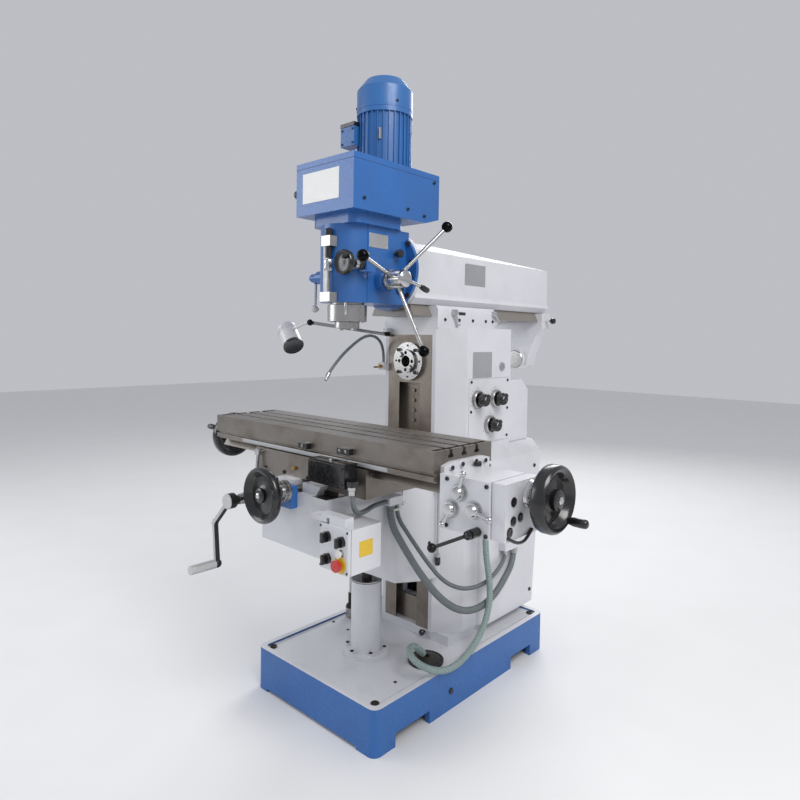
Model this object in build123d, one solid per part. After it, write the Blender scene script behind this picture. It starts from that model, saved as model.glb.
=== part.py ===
from build123d import *
import math
import os

# Universal knee-type milling machine. Millimetres, Z up, front toward -Y, right-hand side toward +X.
# The origin is the centre of the base footprint, on the floor.

# ---- driving sizes ----
base_width = 628.0
base_length = 1024.0
base_height = 156.0
base_wall = 22.0
base_lip = 8.0
anchor_hole_r = 11.0
anchor_inset_x = 42.0
anchor_inset_y = 42.0
column_height = 1220.0
column_front = -24.0
column_half = 218.0
column_depth = 390.0
column_wall = 28.0
cabinet_half = 250.0
way_half = 115.0
way_slot_half = 55.0
way_slot_depth = 30.0
way_flare = 25.0
guide_half = 140.0
guide_height = 85.0
ram_half = 110.0
ram_height = 229.0
ram_length = 975.0
ram_front = -135.0
knee_half = 170.0
knee_length = 573.0
knee_wall = 22.0
knee_top_wall = 40.0
knee_rise = 655.0
saddle_height = 94.0
saddle_half = 290.0
table_half = 560.0
table_width = 280.0
table_thickness = 91.0
slot_width = 14.0
slot_depth = 26.0
slot_pitch = 63.0
spindle_reach = 339.0
spindle_nose_r = 44.44
quill_r = 60.0
flange_r = 150.0
motor_r = 102.0
wheel_r = 92.0
cross_wheel_r = 90.0
screw_r = 12.0
lift_screw_r = 20.0
drive_pulley_r = 50.0
driven_pulley_r = 60.0
belt_thickness = 6.0
switch_x = 224.0
switch_drop = 91.0
clamp_back = 93.0

# ---- clearances ----
slide_gap = 0.1
shaft_gap = 0.05
face_gap = 0.3

# ---- levels and lines that follow ----
base_top = base_height - base_lip
knee_top = base_height + knee_rise
saddle_low = knee_top + 14.0
saddle_top = saddle_low + saddle_height
table_low = saddle_top + slide_gap
table_top = saddle_top + table_thickness
column_top = base_top + column_height
guide_top = column_top + guide_height
ram_low = guide_top + 2.0
ram_top = ram_low + ram_height
pivot_z = ram_low + 123.0
arbor_z = column_top - 133.0
spindle_y = column_front - spindle_reach
knee_front = column_front - knee_length
table_back = -261.0
table_front = table_back - table_width
table_mid = (table_back + table_front) / 2
table_screw_z = saddle_top - 12.0
cross_screw_z = saddle_low - 6.0
lift_y = -247.0
motor_y = -186.0


# ---- plain shapes ----
def box(x0, x1, y0, y1, z0, z1):
    return Pos((x0 + x1) / 2, (y0 + y1) / 2, (z0 + z1) / 2) * Box(x1 - x0, y1 - y0, z1 - z0)


def soft_box(x0, x1, y0, y1, z0, z1, r):
    flat = RectangleRounded(x1 - x0, y1 - y0, r)
    return Pos((x0 + x1) / 2, (y0 + y1) / 2, z0) * extrude(flat, z1 - z0)


def rod(a, b, r):
    line = Vector(*b) - Vector(*a)
    return Plane(origin=a, z_dir=line.normalized()) * extrude(Circle(r), line.length)


def cyl_x(y, z, x0, x1, r):
    return rod((x0, y, z), (x1, y, z), r)


def cyl_y(x, z, y0, y1, r):
    return rod((x, y0, z), (x, y1, z), r)


def cyl_z(x, y, z0, z1, r):
    return rod((x, y, z0), (x, y, z1), r)


def stick(a, b, r, ball_r):
    line = Vector(*b) - Vector(*a)
    shape = extrude(Circle(r), line.length) + Pos(0, 0, line.length) * Sphere(ball_r)
    return Plane(origin=a, z_dir=line.normalized()) * shape


def outline(points):
    return make_face(Polyline(*points, close=True))


def prism_x(points, x0, x1):
    plane = Plane(origin=(x0, 0, 0), x_dir=(0, 1, 0), z_dir=(1, 0, 0))
    return plane * extrude(outline(points), x1 - x0)


def prism_y(points, y0, y1):
    plane = Plane(origin=(0, y1, 0), x_dir=(1, 0, 0), z_dir=(0, -1, 0))
    return plane * extrude(outline(points), y1 - y0)


def prism_z(points, z0, z1):
    return Pos(0, 0, z0) * extrude(outline(points), z1 - z0)


def tube(name, points, r):
    radii = []
    for a, b, c in zip(points, points[1:], points[2:]):
        u = Vector(*b) - Vector(*a)
        v = Vector(*c) - Vector(*b)
        turn = math.radians(u.get_angle(v))
        radii.append(0.45 * min(u.length, v.length) / math.tan(turn / 2))
    print(name, "arc radii", [round(x, 1) for x in radii])
    path = FilletPolyline(*points, radius=radii)
    section = (path ^ 0) * Circle(r)
    solid = sweep(section, path=path)
    ideal = math.pi * r * r * path.length
    print(name, "length", round(path.length, 1), "volume ratio", round(solid.volume / ideal, 4))
    return solid


def save(name, shape):
    solids = shape.solids()
    part = solids[0] if len(solids) == 1 else Compound(children=list(solids))
    part.label = name
    export_step(part, "parts/" + name + ".step")


# ---- base ----
def base_casting():
    hx = base_width / 2
    hy = base_length / 2
    w = base_wall
    body = soft_box(-hx, hx, -hy, hy, 0, base_height, 30)
    body -= soft_box(-hx + w, hx - w, -hy + w, hy - w, base_top, base_height, 16)
    body -= soft_box(-hx + w, hx - w, -hy + w, hy - w, 0, base_top - w, 16)
    for sx in (-1, 1):
        for sy in (-1, 1):
            x = sx * (hx - anchor_inset_x)
            y = sy * (hy - anchor_inset_y)
            body += cyl_z(x, y, 0, base_top, 30)
            body -= cyl_z(x, y, 0, base_top, anchor_hole_r)
    body -= box(-251, 230, -hy, -hy + w, 0, 10)
    for sx in (-1, 1):
        x0, x1 = sorted((sx * (hx - w), sx * hx))
        body -= box(x0, x1, -415, -244, 0, 45)
        body -= box(x0, x1, 263, 409, 0, 47)
    body -= cyl_z(0, lift_y, base_top - w, base_top, lift_screw_r + 6)
    return body


def screw_pedestal():
    top = base_top + 273
    body = cyl_z(0, lift_y, base_top, top, 57) + cyl_z(0, lift_y, base_top, base_top + 16, 86)
    body -= cyl_z(0, lift_y, base_top, top - 40, lift_screw_r + 6)
    body -= cyl_z(0, lift_y, top - 40, top, lift_screw_r + shaft_gap)
    for i in range(6):
        a = math.radians(60 * i + 30)
        body += cyl_z(71.5 * math.cos(a), lift_y + 71.5 * math.sin(a), base_top + 16, base_top + 24, 7)
    return body


def drain_strainer():
    body = cyl_z(213, -149, base_top, base_top + 10, 65) - cyl_z(213, -149, base_top + 4, base_top + 10, 57)
    for i in range(8):
        a = math.radians(45 * i)
        body -= cyl_z(213 + 40 * math.cos(a), -149 + 40 * math.sin(a), base_top, base_top + 4, 7)
    return body


def stop_rod():
    body = cyl_z(-255, -85, base_top, base_top + 42, 24)
    return body + cyl_z(-255, -85, base_top + 42, base_top + 560, 10)


# ---- column ----
def column_casting():
    w = column_wall
    ch = column_half
    back = column_front + column_depth
    z0 = base_top + 37
    front = way_half + 17
    plan = [(-front, column_front), (front, column_front), (ch, column_front + 86), (ch, back),
            (-ch, back), (-ch, column_front + 86)]
    body = prism_z(plan, z0, column_top)
    side = [(150, z0), (520, z0), (572, base_top + 692), (548, base_top + 743), (150, base_top + 743)]
    roof = [(-cabinet_half, z0), (cabinet_half, z0), (cabinet_half, base_top + 692), (ch, base_top + 743),
            (-ch, base_top + 743), (-cabinet_half, base_top + 692)]
    cabinet = prism_x(side, -cabinet_half, cabinet_half) & prism_y(roof, 140, 600)
    cabinet &= soft_box(-cabinet_half, cabinet_half, 150, 700, z0, column_top, 50)
    body += cabinet
    body += box(-205, 205, -10, 480, base_top, z0)
    cavity = box(-ch + w, ch - w, column_front + 68, back - w, z0, column_top - w)
    cavity += box(-cabinet_half + 20, cabinet_half - 20, 185, 490, z0 + 20, base_top + 672)
    body -= cavity
    body -= box(-150, 150, 60, 420, base_top, z0)
    body -= box(-way_half, way_half, column_front, column_front + 40, base_top + 42, column_top - 28)
    body -= box(-way_slot_half, way_slot_half, column_front + 40, column_front + 68, base_top + 138,
                base_top + 201)
    body -= cyl_y(0, arbor_z, column_front + 40, column_front + 68, 62)
    body -= cyl_y(0, arbor_z, back - w, back, 30 + shaft_gap)
    body -= box(-cabinet_half, -cabinet_half + 20, 235, 480, base_top + 152, base_top + 612)
    for y, z in speed_knob_seats():
        body -= cyl_x(y, z, ch - w, ch, 8 + shaft_gap)
    body += box(-124, -100, column_front - 28, column_front, column_top - 18, column_top - 4)
    body -= cyl_z(-112, column_front - 14, column_top - 18, column_top - 4, 5 + shaft_gap)
    body += box(-150, -118, column_front - 26, column_front + 16, column_top - 173, column_top - 143)
    body += soft_box(cabinet_half - 12, cabinet_half + 36, 255, 360, base_top + 322, base_top + 352, 8)
    body += soft_box(ch - 12, ch + 90, 84, 124, base_top + 452, base_top + 482, 8)
    for z in (base_top + 172, base_top + 562):
        body += box(-cabinet_half - 4, -cabinet_half + 6, 484, 500, z, z + 30)
    body += box(-ch - 52, -ch + 6, -100, 96, base_top + 500, base_top + 530)
    body -= cyl_z(-255, -85, base_top + 500, base_top + 530, 10)
    return body


def column_ways():
    y0 = column_front
    body = box(-way_half, way_half, y0, y0 + 40, base_top + 42, column_top - 28)
    h = way_slot_half
    f = way_slot_half + way_flare
    d = way_slot_depth
    slot = prism_z([(-h, y0), (h, y0), (f, y0 + d), (-f, y0 + d)], base_top + 42, base_top + 1002)
    body -= slot
    body -= box(-h, h, y0 + d, y0 + 40, base_top + 138, base_top + 201)
    body -= cyl_y(0, arbor_z, y0, y0 + 40, 62)
    for k in range(4):
        body += cyl_y(0, base_top + 850 + 40 * k, y0 + d - 6, y0 + d, 7)
    return body


def arbor_bearing_cover():
    y0 = column_front
    body = cyl_y(0, arbor_z, y0 - 14, y0, 75) + cyl_y(0, arbor_z, y0, y0 + 68, 62)
    body -= cyl_y(0, arbor_z, y0 - 14, y0, spindle_nose_r + 1.5)
    body -= cyl_y(0, arbor_z, y0, y0 + 68, 40 + shaft_gap)
    for i in range(4):
        a = math.radians(90 * i + 45)
        body += cyl_y(62 * math.cos(a), arbor_z + 62 * math.sin(a), y0 - 20, y0 - 14, 7)
    return body


def horizontal_spindle():
    y0 = column_front
    back = y0 + column_depth
    body = cyl_y(0, arbor_z, y0 - 26, y0 - 1, spindle_nose_r)
    body += cyl_y(0, arbor_z, y0 - 1, back - column_wall - 40, 40)
    body += cyl_y(0, arbor_z, back - column_wall - 40, back - 4, 30)
    body += cyl_y(0, arbor_z, 150, 185, 95)
    body -= cyl_y(0, arbor_z, y0 - 26, y0 + 68, 22.2)
    body -= cyl_y(0, arbor_z, y0 + 68, back - 4, 9)
    for i in range(4):
        a = math.radians(90 * i)
        body -= cyl_y(33.35 * math.cos(a), arbor_z + 33.35 * math.sin(a), y0 - 26, y0 - 6, 7)
    for a in (45, 225):
        key = box(28, 42, y0 - 34, y0 - 26, -8, 8)
        body += Pos(0, 0, arbor_z) * (Rot(0, a, 0) * key)
    return body


def motor_cover():
    y0 = column_front + column_depth
    z0 = base_top + 743
    profile = [(y0, z0), (y0 + 164, z0), (y0 + 164, z0 + 219), (y0 + 110, z0 + 264), (y0, z0 + 264)]
    body = prism_x(profile, -205, 205)
    hollow = [(y0, z0), (y0 + 158, z0), (y0 + 158, z0 + 216), (y0 + 107, z0 + 258), (y0, z0 + 258)]
    return body - prism_x(hollow, -199, 199)


def cabinet_door():
    x = -cabinet_half
    body = soft_box(x - 12, x - face_gap, 225, 482, base_top + 142, base_top + 622, 4)
    body -= box(x - 6, x - face_gap, 240, 470, base_top + 157, base_top + 607)
    body += box(x - 22, x - 12, 250, 262, base_top + 360, base_top + 400)
    body += cyl_z(x - 6, 491, base_top + 203, base_top + 561, 5) + box(x - 11, x - 1, 480, 491,
                                                                       base_top + 203, base_top + 561)
    return body


def speed_knob_seats():
    return ((132, base_top + 941), (257, base_top + 938), (218, base_top + 835))


def speed_knob(y, z):
    x = column_half
    body = cyl_x(y, z, x - 60, x + 2, 8) + cyl_x(y, z, x + face_gap, x + 16, 30)
    body += Pos(x + 32, y, z) * (Rot(45, 0, 0) * Box(36, 50, 14))
    return body


# ---- lamp and coolant ----
def lamp_arm():
    y = column_front - 14
    z = column_top - 18
    body = cyl_z(-112, y, z - 10, z + 14, 5) + cyl_z(-112, y, z - 18, z - face_gap, 10)
    a = (-112, y, z - 10.5)
    b = (-166, y - 102, z + 4)
    c = (-255, y - 162, z + 19)
    d = (-338, y - 207, z + 32)
    arm = FilletPolyline(a, b, c, d, radius=[90, 90])
    body += sweep((arm ^ 0) * Circle(7), path=arm)
    e = arm @ 1
    f = arm % 1
    body += stick((e.X, e.Y, e.Z), (e.X + 9 * f.X, e.Y + 9 * f.Y, e.Z + 9 * f.Z), 7, 13)
    return body


def lamp_head():
    y = column_front - 14
    z = column_top - 18
    lens = (-436, y - 224, z - 65)
    tail = (-510, y - 204, z + 6)
    shell = rod(lens, tail, 41)
    inner = Vector(*lens) * 0.75 + Vector(*tail) * 0.25
    shell -= rod(lens, (inner.X, inner.Y, inner.Z), 37)
    link = rod((-370, y - 212, z + 31), (-462, y - 212, z + 6), 6)
    return shell + link + rod((-359.6, y - 210, z + 33), (-374, y - 212, z + 30), 9)


def coolant_pipe():
    y = column_front
    z = column_top
    points = [(-135, y - 11, z - 143 + face_gap), (-135, y - 11, z - 84), (-124, y - 62, z - 38),
              (-104, y - 145, z - 32), (-90, y - 245, z - 82), (-82, y - 320, z - 138),
              (-77, y - 360, z - 180)]
    return tube("coolant_pipe", points, 6)


# ---- knee ----
def knee_casting():
    y0 = knee_front
    y1 = column_front - slide_gap
    t = knee_top
    profile = [(y0, t), (y1, t), (y1, t - 396), (-138, t - 383), (-276, t - 352), (-399, t - 287),
               (y0, t - 191)]
    body = prism_x(profile, -knee_half, knee_half)
    w = knee_wall
    body -= box(-knee_half + w, knee_half - w, y0 + w, y1 - w - 4, t - 420, t - knee_top_wall)
    h = way_slot_half - slide_gap
    f = way_slot_half + way_flare - slide_gap
    d = way_slot_depth - slide_gap
    yf = column_front
    body += prism_z([(-h, y1), (h, y1), (f, yf + d), (-f, yf + d)], t - 380, t - 11)
    body += prism_y([(-95, t), (95, t), (115, t + 30), (-115, t + 30)], y0 + 22, -30)
    body -= box(-24, 24, y0, -30, t - 15, t + 30)
    body -= cyl_y(-120, t - 25, y0, -300, 12 + shaft_gap)
    body += box(140, 215, y0 - 37, y0, t - 52, t - 36)
    body -= cyl_z(198, y0 - 19, t - 52, t - 36, 8 + shaft_gap)
    body += box(knee_half, knee_half + 36, -345, -278, t - 59, t - 31)
    body += cyl_x(-250, t - 8, knee_half, knee_half + 4, 9)
    body -= cyl_x(-250, t - 8, knee_half - 10, knee_half + 4, 5 + shaft_gap)
    return body


def cross_bracket():
    y0 = knee_front
    z = cross_screw_z
    body = box(-60, 26, y0 - 28, y0, z - 58, z + 17)
    body -= cyl_y(0, z, y0 - 28, y0, screw_r + shaft_gap)
    return body


def elevating_screw():
    top = knee_top - knee_top_wall - slide_gap
    body = cyl_z(0, lift_y, base_top + 92, top - 16, lift_screw_r)
    return body + cyl_z(0, lift_y, top - 16, top, 48)


def knee_crank():
    y0 = knee_front
    z = knee_top - 25
    body = cyl_y(-120, z, y0 - 146, -300, 12) + cyl_y(-120, z, y0 - 40, y0 - face_gap, 26)
    body += cyl_y(-120, z, y0 - 175, y0 - 146, 22)
    a = (-120, y0 - 163, z)
    b = (-207, y0 - 163, z - 88)
    c = (-193, y0 - 163, z - 223)
    body += stick(a, b, 10, 12) + stick(b, c, 10, 15)
    body += cyl_y(-193, z - 223, y0 - 180, y0 - 163, 8) + cyl_y(-193, z - 223, y0 - 261, y0 - 172, 15)
    return body


def spoked_wheel(r, rim_r, hub_r, hub_half):
    rim = Torus(r - rim_r, rim_r)
    body = rim + Pos(0, 0, -hub_half) * extrude(Circle(hub_r), 2 * hub_half)
    for i in range(3):
        body += Rot(0, 0, 120 * i + 90) * rod((hub_r - 6, 0, 0), (r - rim_r, 0, 0), 9)
    return body


def cross_wheel():
    z = cross_screw_z
    y = knee_front - 121
    wheel = Plane(origin=(0, y, z), z_dir=(0, -1, 0)) * spoked_wheel(cross_wheel_r, 9, 24, 14)
    wheel += cyl_y(0, z, y + 14, knee_front - 28 - face_gap, 30)
    return wheel - cyl_y(0, z, y - 10, knee_front - 28, screw_r)


def cross_screw():
    return cyl_y(0, cross_screw_z, knee_front - 131, -60, screw_r)


def control_box():
    y0 = knee_front
    t = knee_top
    body = soft_box(188, 324, y0 - 43, y0 + 97, t - 191, t - 54, 10)
    body += box(228, 300, y0 - 37, y0 - 3, t - 54, t - 25)
    body += soft_box(184, 300, y0 - 37, y0 - 3, t - 36 + face_gap, t - 25, 6)
    body += cyl_z(198, y0 - 19, t - 54, t - 33, 8)
    body -= cyl_y(switch_x, t - switch_drop, y0 - 43, y0 - 28, 7 + shaft_gap)
    for x, z in ((286, t - 130), (286, t - 163)):
        body -= cyl_y(x, z, y0 - 43, y0 - 23, 7 + shaft_gap)
    return body


def switch_knob():
    x = switch_x
    z = knee_top - switch_drop
    y = knee_front - 43
    body = cyl_y(x, z, y - 4, y + 14, 7) + cyl_y(x, z, y - 6, y - face_gap, 17)
    return body + box(x - 5, x + 5, y - 24, y - 6, z - 15, z + 15)


def start_button():
    y = knee_front - 43
    return cyl_y(286, knee_top - 130, y - 9, y + 10, 7) + cyl_y(286, knee_top - 130, y - 11, y - 7, 12)


def stop_button():
    y = knee_front - 43
    z = knee_top - 163
    body = cyl_y(286, z, y - 14, y + 10, 7) + cyl_y(286, z, y - 22, y - 12, 18)
    return body


def knee_clamp_lever():
    z = knee_top - 8
    x = knee_half
    body = cyl_x(-250, z, x - 8, x + 8, 5) + cyl_x(-250, z, x + 4 + face_gap, x + 18, 10)
    return body + stick((x + 11, -250, z), (x + 11, -249, z - 60), 5, 9)


# ---- saddle ----
def saddle_casting():
    t = knee_top
    g = slide_gap
    body = box(-saddle_half, saddle_half, table_front, table_back, saddle_low, saddle_top)
    body += box(-165, 165, table_front, table_back, t + g, saddle_low)
    slot = [(-95 - g, t), (95 + g, t), (115 + g, t + 30 + g), (-115 - g, t + 30 + g)]
    body -= prism_y(slot, table_front, table_back)
    m = table_mid
    g2 = slide_gap
    way = [(m - 90 - g2, saddle_top), (m + 90 + g2, saddle_top), (m + 110 + g2, saddle_top - 30 - g2),
           (m - 110 - g2, saddle_top - 30 - g2)]
    body -= prism_x(way, -saddle_half, saddle_half)
    body += box(-18, 18, m - 20, m + 20, cross_screw_z - screw_r - 6, t + 30 + g)
    body -= cyl_y(0, cross_screw_z, m - 20, m + 20, screw_r + shaft_gap)
    body += box(-40, 40, m - 20, m + 20, saddle_top - 30 - g2, table_screw_z + 18)
    body -= cyl_x(m, table_screw_z, -40, 40, screw_r + shaft_gap)
    body -= cyl_y(-260, saddle_top - 16, table_front, table_front + 30, 6 + shaft_gap)
    return body


def switch_box():
    y = table_front
    body = box(80, 250, y - 54, y, saddle_low + 35, saddle_low + 111)
    body -= box(86, 244, y - 48, y - 6, saddle_low + 41, saddle_low + 105)
    body += soft_box(250, 280, y - 50, y - 18, saddle_low + 43, saddle_low + 60, 5)
    return body + box(150, 180, y - 40, y - 14, saddle_low + 111, saddle_low + 112.5)


def saddle_clamp_lever():
    z = saddle_top - 16
    y = table_front
    body = cyl_y(-260, z, y - 16, y + 26, 6) + cyl_y(-260, z, y - 20, y - face_gap, 13)
    return body + stick((-260, y - 13, z), (-262, y - 17, z - 70), 6, 9)


# ---- table ----
def table_casting():
    m = table_mid
    h = table_half
    g = slide_gap
    z = table_top
    body = box(-h, h, table_front, table_back, z - 62, z)
    body += box(-h, h, table_front + 12, table_back - 12, table_low, z - 62)
    body += box(-h, h, table_front, table_back, table_low + 6, table_low + 20)
    low = saddle_top - 30 + g
    tongue = [(m - 90 + g, table_low), (m + 90 - g, table_low), (m + 110 - g, low), (m - 110 + g, low)]
    body += prism_x(tongue, -h, h)
    body -= box(-h, h, m - 26, m + 26, low, table_screw_z + 24)
    for k in (-1, 0, 1):
        y = m + k * slot_pitch
        body -= box(-h, h, y - slot_width / 2, y + slot_width / 2, z - slot_depth, z)
        body -= box(-h, h, y - slot_width / 2 - 5, y + slot_width / 2 + 5, z - slot_depth, z - slot_depth + 10)
    for x0, x1 in ((-h, -h + 34), (h - 34, h)):
        body -= box(x0 + 8, x1 - 8, table_front + 14, table_back - 14, z - 30, z)
    body += box(-22, 22, table_front - 18, table_front, z - 60, z - 42)
    body += box(174, 230, table_front - 18, table_front, z - 52, z - 34)
    return body


def table_brackets():
    m = table_mid
    h = table_half
    z = table_screw_z
    crown = table_top - slot_depth - 8
    arch = [(m - 110, z + 33), (m - 110, crown - 9), (m - 75, crown), (m + 75, crown), (m + 110, crown - 9),
            (m + 110, z + 33), (m + 40, z - 22), (m - 40, z - 22)]
    body = prism_x(arch, h, h + 14) + prism_x(arch, -h - 14, -h)
    body += cyl_x(m, z, -h - 40, -h - 14, 30)
    body -= cyl_x(m, z, -h - 40, -h, screw_r + shaft_gap)
    body -= cyl_x(m, z, h, h + 14, screw_r + shaft_gap)
    for dy, dz in ((-81, 54), (-33, 58), (33, 58), (81, 54)):
        body += cyl_x(m + dy, z + dz, h + 14, h + 20, 7)
    return body


def gear_lever_seats():
    z = table_screw_z
    h = table_half
    return ((h + 84, z + 3), (h + 57, z - 46), (h + 133, z - 36))


def feed_gearbox():
    m = table_mid
    h = table_half
    z = table_screw_z
    body = box(h + 14, h + 225, m - 121, m + 49, z - 107, z + 45)
    body += box(h + 14, h + 181, m - 129, m - 121, z - 107, z + 45)
    body -= box(h + 26, h + 211, m - 109, m + 37, z - 95, z + 33)
    body += cyl_x(m, z, h + 211, h + 238, 34)
    body -= cyl_x(m, z, h + 14, h + 26, screw_r + shaft_gap)
    body -= cyl_x(m, z, h + 211, h + 238, screw_r + shaft_gap)
    for x, zz in gear_lever_seats() + ((h + 145, z - 92),):
        body -= cyl_y(x, zz, m - 129, m - 109, 6 + shaft_gap)
    body += cyl_z(h + 32, m + 25, z + 45, z + 57, 9)
    return body


def gear_lever(seat, tip):
    y = table_mid - 129
    x, z = seat
    body = cyl_y(x, z, y - 12, y + 18, 6) + cyl_y(x, z, y - 14, y - face_gap, 20)
    end = (x + tip[0], y - 14, z + tip[1])
    return body + stick((x, y - 8, z), end, 6, 9)


def feed_lever():
    y = table_mid - 129
    x = table_half + 145
    z = table_screw_z - 92
    body = cyl_y(x, z, y - 30, y + 18, 6) + cyl_y(x, z, y - 34, y - face_gap, 13)
    end = (x - 107, y - 60, z - 54)
    return body + stick((x, y - 26, z), end, 5, 13)


def table_screw():
    return cyl_x(table_mid, table_screw_z, -table_half - 112, table_half + 305, screw_r)


def table_handwheels():
    m = table_mid
    z = table_screw_z
    x1 = table_half + 295
    x0 = -table_half - 102
    right = Plane(origin=(x1, m, z), z_dir=(1, 0, 0)) * spoked_wheel(wheel_r, 8, 24, 12)
    right += cyl_x(m, z, table_half + 238 + face_gap, x1 - 12, 30)
    right += cyl_x(m + 52, z - 64, x1, x1 + 16, 6) + cyl_x(m + 52, z - 64, x1 + 16, x1 + 76, 12)
    right -= cyl_x(m, z, table_half + 238, x1 + 12, screw_r)
    left = Plane(origin=(x0, m, z), z_dir=(-1, 0, 0)) * spoked_wheel(wheel_r, 8, 24, 12)
    left += cyl_x(m, z, x0 + 12, -table_half - 40 - face_gap, 28)
    left += cyl_x(m - 76, z + 34, x0 - 16, x0, 6) + cyl_x(m - 76, z + 34, x0 - 66, x0 - 16, 12)
    left -= cyl_x(m, z, x0 - 12, -table_half - 40, screw_r)
    return Compound(children=[right.solids()[0], left.solids()[0]])


# ---- ram ----
def ram_tongue(extra):
    g = extra
    low = guide_top - 42
    return [(-ram_half - g, low - g), (ram_half + g, low - g), (ram_half - 18 + g, guide_top),
            (ram_half - 18 + g, ram_low + 1), (-ram_half + 18 - g, ram_low + 1),
            (-ram_half + 18 - g, guide_top)]


def ram_guide():
    y0 = column_front
    y1 = y0 + column_depth - 6
    h = guide_half
    z0 = column_top
    body = prism_y([(-h, z0), (h, z0), (h, guide_top - 14), (h - 10, guide_top), (-h + 10, guide_top),
                    (-h, guide_top - 14)], y0, y1)
    body -= prism_y(ram_tongue(slide_gap), y0, y1)
    return body - cyl_x(y0 + clamp_back, guide_top - 24, h - 28, h, 6 + shaft_gap)


def ram_clamp_lever():
    y = column_front + clamp_back
    lean = 21
    x = guide_half
    z = guide_top - 24
    body = cyl_x(y, z, x - 26, x + 8, 6) + cyl_x(y, z, x + face_gap, x + 18, 12)
    return body + stick((x + 10, y, z), (x + 12, y + lean, z - 46), 5, 8)


def ram_casting():
    h = ram_half
    z0 = ram_low
    z1 = ram_top
    y0 = ram_front
    y1 = y0 + ram_length
    shape = [(-h + 10, z0), (h - 10, z0), (h + 12, z0 + 22), (h, z0 + 45), (h, z1 - 26), (h - 26, z1),
             (-h + 26, z1), (-h, z1 - 26), (-h, z0 + 45), (-h - 12, z0 + 22)]
    body = prism_y(shape, y0, y1)
    body -= prism_x([(y0 + 120, z1), (y1, z1 - 26), (y1, z1 + 5), (y0 + 120, z1 + 5)], -h, h)
    hollow = [(-h + 22, z0 + 24), (h - 22, z0 + 24), (h - 22, z1 - 52), (h - 36, z1 - 48),
              (-h + 36, z1 - 48), (-h + 22, z1 - 52)]
    body -= prism_y(hollow, y0 + 60, y1 - 30)
    body += prism_y(ram_tongue(0), y0 + 5, y1)
    body += cyl_y(0, pivot_z, y0 - 15, y0 + 1, flange_r)
    body -= cyl_y(0, pivot_z, y0 - 15, y0 + 60, 40 + shaft_gap)
    return body


def arbor_support():
    y1 = ram_front + ram_length - 5
    y0 = y1 - 75
    top = guide_top - 2
    outer = [(-132, top), (132, top), (132, top - 70), (100, top - 103), (63, top - 190), (50, top - 250),
             (-50, top - 250), (-63, top - 190), (-100, top - 103), (-132, top - 70)]
    body = prism_y(outer, y0, y1)
    body -= prism_y(ram_tongue(slide_gap), y0, y1)
    body += cyl_y(0, arbor_z - 4, y0 - 20, y1, 44)
    body -= cyl_y(0, arbor_z - 4, y0 - 20, y1, 28)
    for x in (-132, 124):
        body += cyl_x((y0 + y1) / 2, top - 35, x - 14, x + 22, 9)
    return body


def arbor_bush():
    y1 = ram_front + ram_length - 5
    bush = cyl_y(0, arbor_z - 4, y1 - 100, y1 + 4, 28)
    return bush - cyl_y(0, arbor_z - 4, y1 - 100, y1 + 4, 16)


# ---- head ----
def head_casting():
    y1 = ram_front - 15 - slide_gap
    z0 = pivot_z - 131
    z1 = pivot_z + 137
    body = soft_box(-100, 100, spindle_y + 3, y1, z0, z1, 2) + cyl_z(0, spindle_y, z0, z1, 97)
    body += cyl_y(0, pivot_z, y1 - 14, y1, flange_r) + cyl_y(0, pivot_z, y1, y1 + 60, 40)
    body += soft_box(-118, 118, spindle_y - 77, -190, z1, z1 + 36, 40)
    for dz in (-95, 95):
        for x in (-112, 112):
            body += cyl_y(x, pivot_z + dz, y1 - 22, y1 - 14, 10)
    body += soft_box(96, 140, spindle_y - 39, spindle_y + 2, pivot_z - 28, pivot_z + 22, 6)
    body += cyl_x(-290, pivot_z - 48, 90, 130, 42) + cyl_x(spindle_y - 21, pivot_z - 36, -130, -60, 24)
    body -= cyl_z(0, spindle_y, z0, z0 + 220, quill_r + shaft_gap)
    body -= cyl_z(0, spindle_y, z0 + 220, z1 + 36, 40)
    body -= cyl_x(-290, pivot_z - 48, 85, 130, 14 + shaft_gap)
    body -= cyl_x(spindle_y - 21, pivot_z - 36, -130, -90, 8 + shaft_gap)
    body -= cyl_y(115, pivot_z - 4, spindle_y - 39, spindle_y - 2, 8 + shaft_gap)
    return body


def quill():
    z0 = pivot_z - 197
    body = cyl_z(0, spindle_y, z0, z0 + 59, 70) + cyl_z(0, spindle_y, z0 + 59, z0 + 262, quill_r)
    return body - cyl_z(0, spindle_y, z0, z0 + 262, 30 + shaft_gap)


def vertical_spindle():
    z0 = pivot_z - 220
    q = pivot_z - 197
    body = cyl_z(0, spindle_y, z0, q - face_gap, spindle_nose_r)
    body += cyl_z(0, spindle_y, q - face_gap, q + 262, 30)
    body += cyl_z(0, spindle_y, q + 262, pivot_z + 322, 18)
    body -= cyl_z(0, spindle_y, z0, z0 + 94, 22.2)
    body -= cyl_z(0, spindle_y, z0 + 94, pivot_z + 322, 8)
    for sx in (-1, 1):
        body += box(sx * 35 - 7, sx * 35 + 7, spindle_y - 8, spindle_y + 8, z0 - 8, z0)
    return body


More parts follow.
